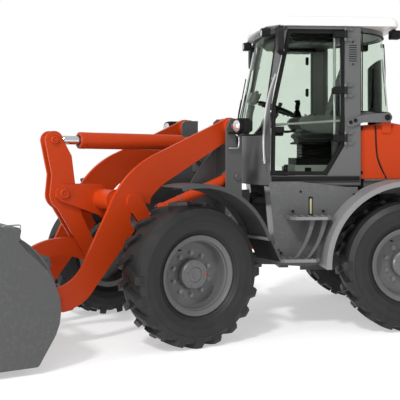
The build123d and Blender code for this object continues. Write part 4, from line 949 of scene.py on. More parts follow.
def insetOutline(outline, inset):
    points = [Vector(p) for p in outline]
    centre = sum(points, Vector((0, 0))) / len(points)
    result = []
    for i, p in enumerate(points):
        a, b = (p - points[i - 1]).normalized(), (points[(i + 1) % len(points)] - p).normalized()
        normals = [Vector((d.y, -d.x)) for d in (a, b)]
        normals = [n if n.dot(centre - p) > 0 else -n for n in normals]
        bisect = (normals[0] + normals[1]).normalized()
        result.append(p + bisect * inset / max(0.3, bisect.dot(normals[0])))
    return result


# a rectangle's corners, or a run of points round an outline with its corners rounded
def rectangle(a, b):
    return [(-a, -b), (a, -b), (a, b), (-a, b)]


def roundedRun(outline, radius, y, steps=5):
    run = []
    for i, p in enumerate(outline):
        p, before, after = Vector(p), Vector(outline[i - 1]), Vector(outline[(i + 1) % len(outline)])
        a, b = p + (before - p).normalized() * radius, p + (after - p).normalized() * radius
        for k in range(steps + 1):
            t = k / steps
            q = a * (1 - t) ** 2 + p * 2 * t * (1 - t) + b * t ** 2
            run.append((q.x, y, q.y))
    return run


# door: a seal bead, black covers over the hinges and the outside paddle
doorValues = {"hingeHeights": (2.862, 2.313, 1.848), "paddle": (-0.128, 1.93),
              "seals": ((0.006, 0.03, 0.7505, 0.0042), (0.034, 0.025, 0.7495, 0.0035)),
              "lever": ((-0.16, 0.68, 1.912), (-0.23, 0.672, 1.908), (-0.31, 0.668, 1.926)),
              "bars": (((-0.69, 0.708, 1.86), (-0.69, 0.705, 2.85), 0.013),
                       ((-0.765, 0.712, 2.02), (-0.08, 0.712, 1.976), 0.0125))}
v = doorValues
bm = bmesh.new()
for inset, corner, y, radius in v["seals"]:
    addTube(bm, roundedRun(insetOutline(cabValues["door"], inset), corner, y), radius, 8, looped=True)
for z in v["hingeHeights"]:
    addBox(bm, (-0.793, 0.7485, z - 0.037), (-0.662, 0.777, z + 0.037), 0.007)
makePiece("doorSealAndHinges", bm, "blackRubber", "door")
bm = bmesh.new()
x, z = v["paddle"]
addBox(bm, (x - 0.052, 0.749, z - 0.03), (x + 0.03, 0.756, z + 0.03), 0.003)
addBox(bm, (x - 0.045, 0.755, z - 0.014), (x + 0.012, 0.764, z + 0.014), 0.004)
addBox(bm, (-0.184, 0.676, 1.868), (-0.072, 0.712, 1.958), 0.008)
addTube(bm, smoothPath(v["lever"], 5), 0.011, 8)
for z in v["hingeHeights"]:
    addBox(bm, (-0.775, 0.68, z - 0.03), (-0.665, 0.712, z + 0.03), 0.006)
makePiece("doorLatch", bm, "blackPlastic", "door")
bm = bmesh.new()                           # the bright bars inside the door
for foot, head, radius in v["bars"]:
    addTube(bm, [foot, head], radius, 12)
makePiece("doorBars", bm, "railSteel", "door")

# the dark strip along the cab's foot, painted shade on the sill, with its shadow groove below
sillValues = {"section": ((0.7515, 1.4265), (0.7665, 1.429), (0.7705, 1.44), (0.7705, 1.462), (0.766, 1.474),
                          (0.7515, 1.4775)), "ends": (-0.925, -0.055),
              "groove": ((-0.93, 0.7715, 1.4195), (-0.045, 0.7715, 1.4195)), "grooveRadius": 0.0035}
v = sillValues
bm = bmesh.new()
for side in sides:
    # the black strip paints the sill's shade
    addPrism(bm, *[[(x, side * y, z) for y, z in v["section"]] for x in v["ends"]])
    addTube(bm, mirrored(v["groove"], side), v["grooveRadius"], 6)
makePiece("sillShadeStrips", bm, "blackRubber", "chassis")

# vent on the pillar: a long plate with round ends, dark slats in its slots that paint their shade, and two
# screws
ventValues = {"x": -0.864, "z": 2.68, "halfWidth": 0.047, "halfHeight": 0.13, "slots": 8, "pitch": 0.022}
v = ventValues
bm = bmesh.new()
for side in sides:
    ends = [(v["x"] + v["halfWidth"] * math.cos(math.radians(a)),
             v["z"] + s * (v["halfHeight"] - v["halfWidth"]) + v["halfWidth"] * math.sin(math.radians(a)))
            for s, first in ((1, 0), (-1, 180)) for a in range(first, first + 181, 15)]
    addTube(bm, [(x, side * 0.7505, z) for x, z in ends], 0.0028, 8, looped=True)
makePiece("ventRims", bm, "cabPaint", "chassis")
levels = [v["z"] + v["pitch"] * (i - (v["slots"] - 1) / 2) for i in range(v["slots"])]
# dark slats: painted shade inside the vent's slots
growSlats("ventShadows",
          [((v["x"] - 0.037, side * 0.742, z), (v["x"] + 0.037, side * 0.742, z), 0.007, 0.009)
           for side in sides for z in levels], "blackRubber", "chassis")

# screws on the cab and the tanks: vent, pillar foot, tank edges, step brackets
cabBoltValues = {
    "vent": [(v["x"], 0.751, v["z"] + s * 0.108) for s in (1, -1)],
    "pillar": [(-0.835, 0.7745, 2.002), (-0.882, 0.7745, 2.02)],
    "tank": [(-0.335, 0.791, 1.328), (-0.12, 0.791, 0.76), (-0.86, 0.791, 0.8), (-0.86, 0.791, 1.3)],
    "step": [(-0.553, 0.8085, 1.139), (-0.253, 0.8085, 1.139), (-0.437, 0.8085, 0.738),
             (-0.137, 0.8085, 0.738)],
}
v = cabBoltValues
cabBolts = mirroredBolts((v["vent"], outwards, 0.011), (v["pillar"], outwards, 0.024),
                         (v["tank"], outwards, 0.014), (v["step"], outwards, 0.017))
growBolts("cabBolts", cabBolts, "blackPlastic", "chassis", Sides=16)
bm = bmesh.new()
for side in sides:
    addLathe(bm, [(0.03, 0), (0.03, 0.006), (0.026, 0.009), (0.012, 0.009), (0.01, 0.006), (0, 0.006)],
             (-1.204, side * 0.775, 2.051), (0, side, 0), 32)
makePiece("hoodPinCaps", bm, "blackPlastic", "chassis")

# sight gauge on the tank: a black frame round a pale tube
gaugeValues = {"x": -0.4325, "low": 1.095, "high": 1.278, "halfWidth": 0.0195, "face": 0.79}
v = gaugeValues
bm = bmesh.new()
for side in sides:
    y = side * v["face"]
    addBox(bm, (v["x"] - v["halfWidth"], y - side * 0.002, v["low"]),
           (v["x"] + v["halfWidth"], y + side * 0.005, v["high"]), 0.002)
    for z in (v["low"] + 0.012, v["high"] - 0.012):
        addBox(bm, (v["x"] - 0.015, y + side * 0.004, z - 0.01),
               (v["x"] + 0.015, y + side * 0.017, z + 0.01), 0.003)
makePiece("gaugeFrames", bm, "blackPlastic", "chassis")
bm = bmesh.new()
for side in sides:
    addTube(bm, [(v["x"], side * (v["face"] + 0.0095), v["low"] + 0.018),
                 (v["x"], side * (v["face"] + 0.0095), v["high"] - 0.018)], 0.0105, 14)
makePiece("gaugeTubes", bm, "gaugeScale", "chassis")

# windscreen and rear wipers, lying a little off the glass: y, the pivot's height, the blade's ends
wiperValues = {
    "front": ((0.16, 1.93, 2.04, 2.56), (-0.3, 1.93, 2.04, 2.5)), "offset": 0.1, "lie": 0.014,
    "rear": {"pivot": (0.1, 2.83), "elbow": (0.03, 2.6), "tip": (0, 2.45),
             "blade": (2.2, 2.32, 2.45, 2.58, 2.7)},
    "armRadius": 0.0055, "bladeRadius": 0.0065,
}
v = wiperValues
bm = bmesh.new()
for y, foot, low, high in v["front"]:
    root = y - v["offset"]
    x = noseX(root, foot) + 0.006
    middle = (low + high) / 2
    addLathe(bm, [(0.02, 0), (0.02, 0.016), (0.014, 0.022), (0, 0.022)], (x - 0.012, root, foot),
             (1, 0, 0.2), 16)
    addTube(bm, [(x + 0.012, root, foot), (noseX(y - 0.03, 2.12) + 0.026, y - 0.03, 2.12),
                 (noseX(y, middle) + 0.022, y, middle)], v["armRadius"], 6)
    blade = (low, (low + middle) / 2, middle, (high + middle) / 2, high)
    addTube(bm, [(noseX(y, z) + v["lie"], y, z) for z in blade], v["bladeRadius"], 6)
rear = v["rear"]
cap = [(0.022, 0), (0.022, 0.02), (0.015, 0.026), (0, 0.026)]
addLathe(bm, cap, (rearX(*rear["pivot"]) + 0.012, *rear["pivot"]), (-1, 0, 0), 16)
addTube(bm,
        [(rearX(y, z) - off, y, z) for (y, z), off in ((rear["pivot"], 0.014), (rear["elbow"], 0.022),
                                                       (rear["tip"], 0.02))], v["armRadius"], 6)
addTube(bm, [(rearX(0, z) - 0.013, 0, z) for z in rear["blade"]], v["bladeRadius"], 6)
makePiece("wipers", bm, "blackPlastic", "chassis")


# points spread along a pane's outline of (y, z) corners
def paneEdge(corners, steps):
    return [(y0 + (y1 - y0) * i / steps, z0 + (z1 - z0) * i / steps)
            for (y0, z0), (y1, z1) in zip(corners, corners[1:] + corners[:1]) for i in range(steps)]


# black gaskets round the windscreen, the rear pane and down the rear pillars
gasketValues = {"nose": ((-0.64, 1.88), (0.64, 1.88), (0.6, 2.88), (-0.6, 2.88)), "noseRadius": 0.0085,
                "rear": ((-0.683, 2.11), (0.683, 2.11), (0.683, 2.89), (-0.683, 2.89)), "rearRadius": 0.008}
v = gasketValues
bm = bmesh.new()
addTube(bm, [(noseX(y, z) + 0.001, y, z) for y, z in paneEdge(v["nose"], 10)], v["noseRadius"], 8,
        looped=True)
addTube(bm, [(rearX(y, z) - 0.001, y, z) for y, z in paneEdge(v["rear"], 12)], v["rearRadius"], 8,
        looped=True)
for side in sides:
    addTube(bm, [(-0.957, side * 0.7505, z) for z in (2.1, 2.5, 2.9)], 0.006, 8)
makePiece("paneGaskets", bm, "blackRubber", "chassis")

# mirrors: the glass in its rounded plate, and the looped arm
mirrorValues = {"at": (-0.1415, 0.88, 2.79), "half": (0.06, 0.112), "corner": 0.012, "thick": 0.0025,
                "flare": 1.02, "armRadius": 0.0075,
                "arm": ((-0.16, 0.757, 2.905), (-0.135, 0.8, 2.925), (-0.106, 0.9, 2.918),
                        (-0.09, 0.925, 2.86), (-0.09, 0.925, 2.72), (-0.1, 0.9, 2.66), (-0.13, 0.82, 2.655),
                        (-0.185, 0.757, 2.665))}
v = mirrorValues
x, middle, height = v["at"]
plate = [(v["half"][0] * sy + v["corner"] * math.cos(a), v["half"][1] * sz + v["corner"] * math.sin(a))
         for sy, sz, first in ((1, 1, 0), (-1, 1, 90), (-1, -1, 180), (1, -1, 270))
         for a in [math.radians(first + 22.5 * k) for k in range(5)]]
bm = bmesh.new()
for side in sides:
    addPrism(bm, [(x, side * middle + y, height + z) for y, z in plate],
             [(x + v["thick"], side * middle + y * v["flare"], height + z * v["flare"]) for y, z in plate])
makePiece("mirrorFaces", bm, "mirrorFace", "chassis", smooth=0)
bm = bmesh.new()
for side in sides:
    addTube(bm, smoothPath(mirrored(v["arm"], side), 5), v["armRadius"], 8)
makePiece("mirrorArms", bm, "blackPlastic", "chassis")

# work lamps: lens and bezel, (x, y, which way it faces)
workLampValues = {"places": ((0.022, 0.61, 1), (-1.384, 0.56, -1)), "lensHalf": 0.05, "lens": (2.858, 2.914),
                  "middle": 2.886, "bezel": (0.056, 0.036), "bezelRadius": 0.004}
v = workLampValues
bm, bezels = bmesh.new(), bmesh.new()
frameRun = roundedRun(rectangle(*v["bezel"]), 0.02, 0)
for side in sides:
    for x, y, facing in v["places"]:
        addBox(bm, (x - facing * 0.004, side * y - v["lensHalf"], v["lens"][0]),
               (x + facing * 0.0025, side * y + v["lensHalf"], v["lens"][1]), 0.002)
        bezel = [(x, side * y + a, v["middle"] + b) for a, _, b in frameRun]
        addTube(bezels, bezel, v["bezelRadius"], 6, looped=True)
makePiece("workLenses", bm, "lampLens", "chassis")
makePiece("workBezels", bezels, "blackPlastic", "chassis")
print("stage: cab outside")

# hood: catches, a lip along its foot, side louvres, handle, tail bezels and grille wires
hoodValues = {"foot": 1.444, "catches": ((-0.955, 1.945), (-0.955, 1.508)), "louvres": 7,
              "lips": (("Cowl", "chassis", -1.19, -0.946), ("Rear", "hood", -2.09, -1.226)),
              "handle": ((-2.588, -0.09, 1.7), (-2.6, -0.085, 1.7), (-2.6, 0, 1.701), (-2.6, 0.085, 1.7),
                         (-2.588, 0.09, 1.7)),
              "seam": ((-1.097, 1.975, 0), (-1.117, 1.661, 0), (-1.208, 1.4445, 0)), "sealRadius": 0.0085}
v = hoodValues
bm = bmesh.new()
for side in sides:
    for x, z in v["catches"]:
        addBox(bm, (x - 0.016, side * 0.7195, z - 0.016), (x + 0.016, side * 0.7265, z + 0.016), 0.003)
        addLathe(bm, [(0.009, 0), (0.009, 0.005), (0.006, 0.008), (0, 0.008)], (x, side * 0.7265, z),
                 (0, side, 0), 12)
makePiece("hoodCatches", bm, "blackPlastic", "chassis")
for name, body, xLow, xHigh in v["lips"]:
    bm = bmesh.new()
    for side in sides:
        addBox(bm, (xLow, side * 0.7185, v["foot"] + 0.002), (xHigh, side * 0.7255, v["foot"] + 0.045),
               0.003)
    makePiece("hoodLip" + name, bm, "bodyPaint", body)
growSlats("hoodLouvres",
          [((-2.32 + 0.06 * i, side * 0.7205, 1.5), (-2.28 + 0.06 * i, side * 0.7205, 1.66), 0.016, 0.011)
           for side in sides for i in range(v["louvres"])], "blackPlastic", "hood", "body_paint")
wires = [((-2.5815, y, 1.325), (-2.5815, y, 1.655), 0.005, 0.005)
         for y in [-0.47 + 0.04 * i for i in range(24)]]
wires += [((-2.582, -0.478, z), (-2.582, 0.478, z), 0.004, 0.004)
          for z in [1.33 + 0.02 * i for i in range(17)]]
growSlats("grilleWires", wires, "blackPlastic", "hood", Sides=6)
bm = bmesh.new()
addTube(bm, smoothPath(v["handle"], 5), 0.007, 8)
makePiece("hoodHandle", bm, "blackPlastic", "hood")
tailValues = {"at": (-2.734, 0.64, 1.182), "half": (0.088, 0.038), "bezelRadius": 0.005,
              "screws": ((-2.7365, 0.598, 1.182), (-2.7365, 0.682, 1.182)),
              "reflector": ((-2.7635, 0.98), (-2.752, 1.02)), "reflectorY": 0.63, "reflectorHalf": 0.045}
tail = tailValues
ring = roundedRun(rectangle(*tail["half"]), 0.02, 0)
bm = bmesh.new()
for side in sides:
    x, y, z = tail["at"]
    addTube(bm, [(x, side * y + a, z + b) for a, _, b in ring], tail["bezelRadius"], 8, looped=True)
    for place in mirrored(tail["screws"], side):
        addLathe(bm, [(0.006, 0), (0.006, 0.003), (0, 0.0035)], place, (-1, 0, 0), 10)
makePiece("tailBezels", bm, "blackPlastic", "chassis")
bm = bmesh.new()
(back, low), (front, high) = tail["reflector"]
for side in sides:
    y, half = side * tail["reflectorY"], tail["reflectorHalf"]
    addBox(bm, (back, y - half, low), (front, y + half, high), 0.002)
makePiece("reflectors", bm, "redPlastic", "chassis")
ballastScrews = [(-2.56, 0.331, z) for z in (0.87, 1.12)]
growBolts("ballastBolts", mirroredBolts((ballastScrews, outwards, 0.028)), "boltZinc", "chassis")

# black seals: cab to hood and along the hood's seam, and black plates behind the tanks that fill the open
# gap there with painted shadow
bm = bmesh.new()
for side in sides:
    addTube(bm, [(p.x, side * 0.7185, p.y) for p in smoothPath(v["seam"], 6)], v["sealRadius"], 8)
    # a black plate behind each tank: painted shadow filling the open gap behind the tank
    addBox(bm, (-0.995, side * 0.678, 1.19), (-0.885, side * 0.688, 1.442), 0.002)
addBox(bm, (-0.957, -0.66, 1.9), (-0.9415, 0.66, 1.995), 0.004)
makePiece("hoodSealsAndShadePlates", bm, "blackRubber", "chassis")
print("stage: hood and tail")

# steps: a lighter band round each tread's edge, with a rolled front edge; its lighter grey is partly the
# treads' pale colour and partly painted light on their lit edges
stepValues = {"treads": ((-0.611, 1.071), (-0.495, 0.67)), "inner": 0.7905, "outer": 1.004, "thick": 0.026}
v = stepValues
bm = bmesh.new()
for side in sides:
    for back, z in v["treads"]:
        edge = [(back - 0.002, v["inner"]), (back + 0.012, 0.961), (back + 0.059, v["outer"] + 0.002),
                (back + 0.361, v["outer"] + 0.002), (back + 0.41, 0.961), (back + 0.425, v["inner"])]
        inside = [(back + 0.02, v["inner"]), (back + 0.032, 0.954), (back + 0.068, v["outer"] - 0.016),
                  (back + 0.352, v["outer"] - 0.016), (back + 0.39, 0.954), (back + 0.403, v["inner"])]
        for (x0, y0), (x1, y1), (u0, w0), (u1, w1) in zip(edge, edge[1:], inside, inside[1:]):
            addSlab(bm, [(x0, side * y0), (x1, side * y1), (u1, side * w1), (u0, side * w0)],
                    z - 0.0015, z + v["thick"] + 0.002)
# the band's lighter grey: pale treads, partly painted light on their lit edges
makePiece("stepEdges", bm, "fenderPaint", "chassis")
studs = [(back + 0.212 + 0.066 * i, 0.888 + 0.063 * j, z + v["thick"])
         for back, z in v["treads"] for i in range(-2, 3) for j in (-1, 0, 1)]
growBolts("treadStuds", mirroredBolts((studs, upwards, 0.013)), "fenderPaint", "chassis", "frame_paint",
          Sides=10)

# exhaust: a thin tube whose mouth is cut back towards the front
stackValues = {"x": -1.44, "y": -0.42, "radius": 0.082, "wall": 0.004, "foot": 1.9, "top": 2.738,
               "cut": 0.115, "steps": 48}
v = stackValues
bm = bmesh.new()
rows = []
for radius, level in ((v["radius"] + 0.014, 0.0), (v["radius"] + 0.014, 0.03), (v["radius"], 0.04),
                      (v["radius"], None), (v["radius"] - v["wall"], None), (v["radius"] - v["wall"], 0.5)):
    row = []
    for i in range(v["steps"]):
        a = 2 * math.pi * i / v["steps"]
        mouth = v["top"] - v["cut"] * (0.5 + 0.5 * math.cos(a)) ** 1.4
        z = mouth if level is None else v["foot"] + level
        row.append(bm.verts.new((v["x"] + radius * math.cos(a), v["y"] + radius * math.sin(a), z)))
    rows.append(row)
joinRows(bm, rows)
bm.faces.new(rows[-1][::-1])
bm.faces.new(rows[0])
stack = makePiece("exhaustPipe", bm, "stackPaint", "chassis")
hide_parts("exhaust_stack")

# inside the cab: headliner with its louvres, pillar trims, window catches and floor mat
interiorValues = {"roof": 2.893, "pillar": (-0.945, -0.792), "matLow": 1.426, "matTop": 1.4335,
                  "matRibs": 22, "liner": ((-0.9, -0.66), (-0.24, -0.66), (-0.16, -0.4), (-0.12, 0),
                                           (-0.16, 0.4), (-0.24, 0.66), (-0.9, 0.66)),
                  "vents": (-0.46, 0.46), "catches": (2.38, 2.74),
                  "mat": ((-0.88, -0.69), (-0.06, -0.69), (0.04, -0.4), (0.1, 0), (0.04, 0.4), (-0.06, 0.69),
                          (-0.88, 0.69))}
v = interiorValues
bm = bmesh.new()
addSlab(bm, v["liner"], v["roof"] - 0.05, v["roof"], 0.012)
for y in v["vents"]:
    addBox(bm, (-0.74, y - 0.14, v["roof"] - 0.085), (-0.3, y + 0.14, v["roof"] - 0.045), 0.014)
makePiece("headliner", bm, "blackPlastic", "chassis")
louvres = [(-0.7 + 0.105 * i + 0.018 * k, y) for y in v["vents"] for i in range(4) for k in range(4)]
low = v["roof"] - 0.087
growSlats("headLouvres", [((x, y - 0.1, low), (x, y + 0.1, low), 0.006, 0.012) for x, y in louvres],
          "greyPlastic", "chassis")
bm = bmesh.new()
for side in sides:
    addBox(bm, (v["pillar"][0], side * 0.672, 1.9), (v["pillar"][1], side * 0.706, 2.85), 0.012)
    addBox(bm, (v["pillar"][0] + 0.02, side * 0.664, 1.98), (v["pillar"][1] - 0.02, side * 0.674, 2.78),
           0.008)
makePiece("pillarTrims", bm, "greyPlastic", "chassis")
bm = bmesh.new()
for z in v["catches"]:                     # catches of the far window
    addBox(bm, (-0.745, -0.712, z - 0.045), (-0.71, -0.69, z + 0.045), 0.006)
    addTube(bm, [(-0.727, -0.69, z + 0.02), (-0.727, -0.675, z - 0.02), (-0.727, -0.68, z - 0.05)], 0.006, 6)
makePiece("windowCatches", bm, "blackPlastic", "chassis")
bm = bmesh.new()
addSlab(bm, v["mat"], v["matLow"], v["matTop"], 0.002)
for i in range(v["matRibs"]):
    addTube(bm, [(-0.36 + 0.016 * i, -0.24, v["matTop"]), (-0.36 + 0.016 * i, 0.62, v["matTop"])], 0.0022, 5)
makePiece("floorMat", bm, "blackRubber", "chassis")

# steering console: instrument pod, column shroud, lever knobs, pedals and the wheel's grip
dashValues = {"pod": (0.005, 0, 2.27), "podLean": -24, "hub": (-0.236, 0, 2.16), "lean": (-0.35, 0, 0.94),
              "wheelRadius": 0.19, "grips": 18, "dials": 3, "pedals": (-0.19, 0.16, 0.27), "pedalLean": 30,
              "column": ((0.05, 0, 2.0), (0.045, 0, 2.1), (0.02, 0, 2.2)),
              "lever": ((-0.175, 0.06, 2.07), (-0.18, 0.12, 2.08), (-0.185, 0.165, 2.1))}
v = dashValues
turn = Matrix.Rotation(math.radians(v["podLean"]), 4, "Y")
bm = bmesh.new()
x, y, z = v["pod"]
addBox(bm, (x - 0.045, y - 0.13, z - 0.08), (x + 0.045, y + 0.13, z + 0.08), 0.03, 3, turn)
addTube(bm, smoothPath(v["column"], 5), 0.035, 14)
addBox(bm, (-0.21, -0.075, 1.95), (-0.09, 0.075, 2.075), 0.028, 3, turn)
makePiece("instrumentPod", bm, "greyPlastic", "chassis")
bm = bmesh.new()
addBox(bm, (x - 0.05, y - 0.105, z - 0.055), (x - 0.043, y + 0.105, z + 0.055), 0.003, 2, turn)
for i in range(v["dials"]):
    addLathe(bm, [(0.024, 0), (0.024, 0.004), (0.02, 0.006), (0, 0.006)],
             (x - 0.05, -0.066 + 0.066 * i, z + 0.002), turn.to_3x3() @ Vector((-1, 0, 0)), 24)
hub, lean = Vector(v["hub"]), Vector(v["lean"]).normalized()
addRing(bm, hub + lean * 0.004, lean, v["wheelRadius"], 0.0165, 1, 64, 10)
addLathe(bm, [(0.05, 0), (0.05, 0.012), (0.042, 0.02), (0.02, 0.024), (0, 0.025)], hub, lean, 32)
sideways = Vector((0, 1, 0))
forward = sideways.cross(lean)
for i in range(v["grips"]):                # finger grips under the rim
    a = 2 * math.pi * i / v["grips"]
    at = hub + (sideways * math.cos(a) + forward * math.sin(a)) * v["wheelRadius"]
    addLathe(bm, [(0.008, -0.014), (0.011, -0.018), (0.008, -0.0205), (0, -0.021)], at, lean, 8)
addLathe(bm, [(0.012, 0), (0.018, 0.012), (0.022, 0.03), (0.018, 0.045), (0, 0.05)],
         hub + sideways * v["wheelRadius"] * 0.9 + lean * 0.016, lean, 18)
for side in sides:
    addTube(bm, smoothPath(mirrored(v["lever"], side), 4), 0.007, 8)
    addLathe(bm, [(0.009, -0.02), (0.012, 0), (0.009, 0.022), (0, 0.024)], (-0.185, side * 0.17, 2.102),
             (0, side, 0.3), 12)
makePiece("steeringDetails", bm, "blackPlastic", "chassis")
bm = bmesh.new()
turn = Matrix.Rotation(math.radians(v["pedalLean"]), 4, "Y")
for y in v["pedals"]:
    addBox(bm, (0, y - 0.035, 1.5), (0.012, y + 0.035, 1.6), 0.004, 2, turn)
    addTube(bm, [(0.01, y, 1.55), (0.06, y, 1.44)], 0.009, 6)
makePiece("pedals", bm, "blackRubber", "chassis")

# consoles: moulded armrests with pads, the far switch box, and the joystick on its gaiter
consoleValues = {"arm": ((-0.88, 2.03), (-0.87, 1.95), (-0.8, 1.9), (-0.6, 1.9), (-0.47, 1.935),
                         (-0.42, 2.0), (-0.43, 2.06), (-0.5, 2.085), (-0.74, 2.085), (-0.84, 2.07)),
                 "in": 0.265, "out": 0.358, "stick": (-0.53, -0.31)}
v = consoleValues
bm = bmesh.new()
for side in sides:
    addPlate(bm, v["arm"], side * v["in"], side * v["out"], 0.014)
    addBox(bm, (-0.835, side * 0.275, 1.44), (-0.765, side * 0.335, 1.87), 0.01)
    addBox(bm, (-0.83, side * 0.3555, 1.945), (-0.5, side * 0.3625, 1.995), 0.003)
addBox(bm, (-0.74, -0.54, 1.428), (-0.4, -0.4, 1.56), 0.02)
arms = makePiece("armConsoles", bm, "greyPlastic", "chassis")
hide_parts("side_console")
bm = bmesh.new()
x, y = v["stick"]
gaiter = [(0.052, 2.083), (0.054, 2.092)]
for i in range(4):
    r = 0.05 - 0.005 * i
    gaiter += [(r, 2.1 + 0.015 * i), (r - 0.008, 2.107 + 0.015 * i)]
addLathe(bm, gaiter + [(0.016, 2.172), (0.013, 2.2), (0.0, 2.2)], (x, y, 0), (0, 0, 1), 28)
addTube(bm, smoothPath([(x, y, 2.17), (x - 0.002, y, 2.2), (x - 0.01, y, 2.235), (x - 0.004, y, 2.262)], 4),
        0.026, 12)
addLathe(bm, [(0.027, 0), (0.031, 0.012), (0.025, 0.024), (0, 0.027)], (x - 0.004, y, 2.248), (0.1, 0, 1),
         18)
for side in sides:                         # switches let into the console's side
    for i in range(3):
        addBox(bm, (-0.6 + 0.05 * i, side * 0.275, 2.083), (-0.575 + 0.05 * i, side * 0.33, 2.0925), 0.003)
makePiece("joystick", bm, "blackRubber", "chassis")

# seat pedestal: a pale box with its storage hatch and slide rails
bm = bmesh.new()
addBox(bm, (-0.806, -0.2145, 1.4275), (-0.404, 0.2145, 1.585), 0.014)
addBox(bm, (-0.44, 0.205, 1.44), (-0.396, 0.222, 1.57), 0.008)
makePiece("seatPedestal", bm, "paleTrim", "chassis")
bm = bmesh.new()
for side in sides:
    addBox(bm, (-0.57, side * 0.2125, 1.475), (-0.5, side * 0.2185, 1.545), 0.004)
    addBox(bm, (-0.83, side * 0.183, 1.785), (-0.43, side * 0.2, 1.806), 0.004)
makePiece("seatHatches", bm, "blackPlastic", "chassis")
print("stage: cab inside")

# roof: a thin lid with softened, drooping ends
roofValues = {"low": 2.9425, "ends": (-1.34, -0.035), "bow": 0.085, "half": 0.768, "corner": 0.13,
              "seal": ((-1.2, 0.74, 2.944), (-0.6, 0.752, 2.944), (-0.1, 0.735, 2.944)), "sealRadius": 0.004,
              "crown": ((0.05, 0), (0.008, 0), (0, 0.006), (0, 0.034), (0.004, 0.05), (0.016, 0.071),
                        (0.04, 0.089), (0.08, 0.104), (0.14, 0.115), (0.24, 0.122), (0.42, 0.1265))}
v = roofValues


# one end of the lid on one side: bowed out in the middle, then round the corner
def roofEnd(end, sign, side):
    v = roofValues
    straight, turn = v["half"] - v["corner"], v["corner"] * 0.75
    run = []
    for t in range(13):
        y = straight * t / 12
        run.append((end + sign * (v["bow"] * (1 - (y / v["half"]) ** 2) - 0.02), side * y))
    corner = run[-1][0] - sign * turn
    for t in range(1, 8):
        a = math.pi / 2 * t / 8
        run.append((corner + sign * turn * math.cos(a), side * (straight + v["corner"] * math.sin(a))))
    return run + [(corner, side * v["half"])]


bm = bmesh.new()
plan = [roofEnd(v["ends"][1], 1, side) + roofEnd(v["ends"][0], -1, side)[::-1] for side in sides]
loop = plan[0] + plan[1][::-1][1:-1]
middle = (v["ends"][0] + v["ends"][1]) / 2
rows = []
for shrink, height in v["crown"]:
    row = []
    for x, y in loop:
        reach = math.hypot(x - middle, y)
        k = 1 - shrink / reach * (1.4 if shrink > 0.05 else 1)
        row.append(bm.verts.new((middle + (x - middle) * k, y * k, v["low"] + height)))
    rows.append(row)
joinRows(bm, rows)
bm.faces.new(rows[0][::-1])
bm.faces.new(rows[-1])
lid = makePiece("roofLid", bm, "roofPaint", "chassis", smooth=60)
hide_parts("cab_roof")
bm = bmesh.new()
for side in sides:                         # the seal under the lid's edge
    addTube(bm, smoothPath(mirrored(v["seal"], side), 5), v["sealRadius"], 6)
makePiece("roofSeal", bm, "blackRubber", "chassis")
print("stage: roof")

# seat: two pads blown up by cloth pressure, with sewn channels
seatValues = {"shrink": 0.012, "voxel": 0.007, "pressure": 4.0, "frames": 16, "cap": 0.016,
              "quickVoxel": 0.02, "channelDepth": 0.006, "channelWidth": 0.012,
              "cushion": {"x": (-0.87, -0.405), "y": 0.245, "z": (1.815, 1.937)},
              "back": ((-0.765, 1.925), (-0.876, 1.925), (-0.882, 2.08), (-1.088, 2.61), (-1.07, 2.68),
                       (-1.015, 2.69), (-0.985, 2.62), (-0.8, 2.09))}
v = seatValues


def blowUp(name, bm, channels):
    bmesh.ops.recalc_face_normals(bm, faces=bm.faces)
    mesh = bpy.data.meshes.new(name)
    bm.to_mesh(mesh)
    bm.free()
    pad = bpy.data.objects.new(name + "Draft", mesh)
    bpy.context.scene.collection.objects.link(pad)
    remesh = pad.modifiers.new("grain", "REMESH")
    remesh.mode = "VOXEL"
    remesh.voxel_size = v["voxel"]
    cloth = pad.modifiers.new("fill", "CLOTH")
    cloth.settings.use_pressure = True
    cloth.settings.uniform_pressure_force = v["pressure"]
    cloth.settings.effector_weights.gravity = 0
    cloth.point_cache.frame_end = v["frames"]
    depsgraph = bpy.context.evaluated_depsgraph_get()
    for frameNumber in range(1, v["frames"] + 1):
        bpy.context.scene.frame_set(frameNumber)
    blown = bpy.data.meshes.new_from_object(pad.evaluated_get(depsgraph), depsgraph=depsgraph)
    pad.modifiers["fill"].show_viewport = False
    depsgraph = bpy.context.evaluated_depsgraph_get()
    calm = bpy.data.meshes.new_from_object(pad.evaluated_get(depsgraph), depsgraph=depsgraph)
    for before, after in zip(calm.vertices, blown.vertices):
        move = after.co - before.co
        if move.length > v["cap"]:
            after.co = before.co + move * (v["cap"] / move.length)
    bpy.context.scene.frame_set(1)
    bpy.data.objects.remove(pad)
    grown = bmesh.new()
    grown.from_mesh(blown)
    bmesh.ops.smooth_vert(grown, verts=grown.verts, factor=0.5, use_axis_x=True, use_axis_y=True,
                          use_axis_z=True)
    grown.normal_update()
    for vert in grown.verts:               # channels sewn across the pad
        vert.co -= vert.normal * channels(vert.co)
    return grown


# how deep the sewn channels lie: one channel, then the cushion's and the backrest's
def channelAt(distance):
    return v["channelDepth"] * math.exp(-(distance / v["channelWidth"]) ** 2)


def cushionChannels(p):
    across = sum(channelAt(p.x + 0.5 + 0.09 * i) for i in range(4)) if abs(p.y) < 0.15 else 0
    return channelAt(abs(p.y) - 0.15) + across if p.z > 1.9 else 0


def backChannels(p):
    across = sum(channelAt(p.z - 2.06 - 0.1 * i) for i in range(6)) if abs(p.y) < 0.13 else 0
    return channelAt(abs(p.y) - 0.13) + across if p.x > -0.83 - (p.z - 2.09) * 0.37 else 0


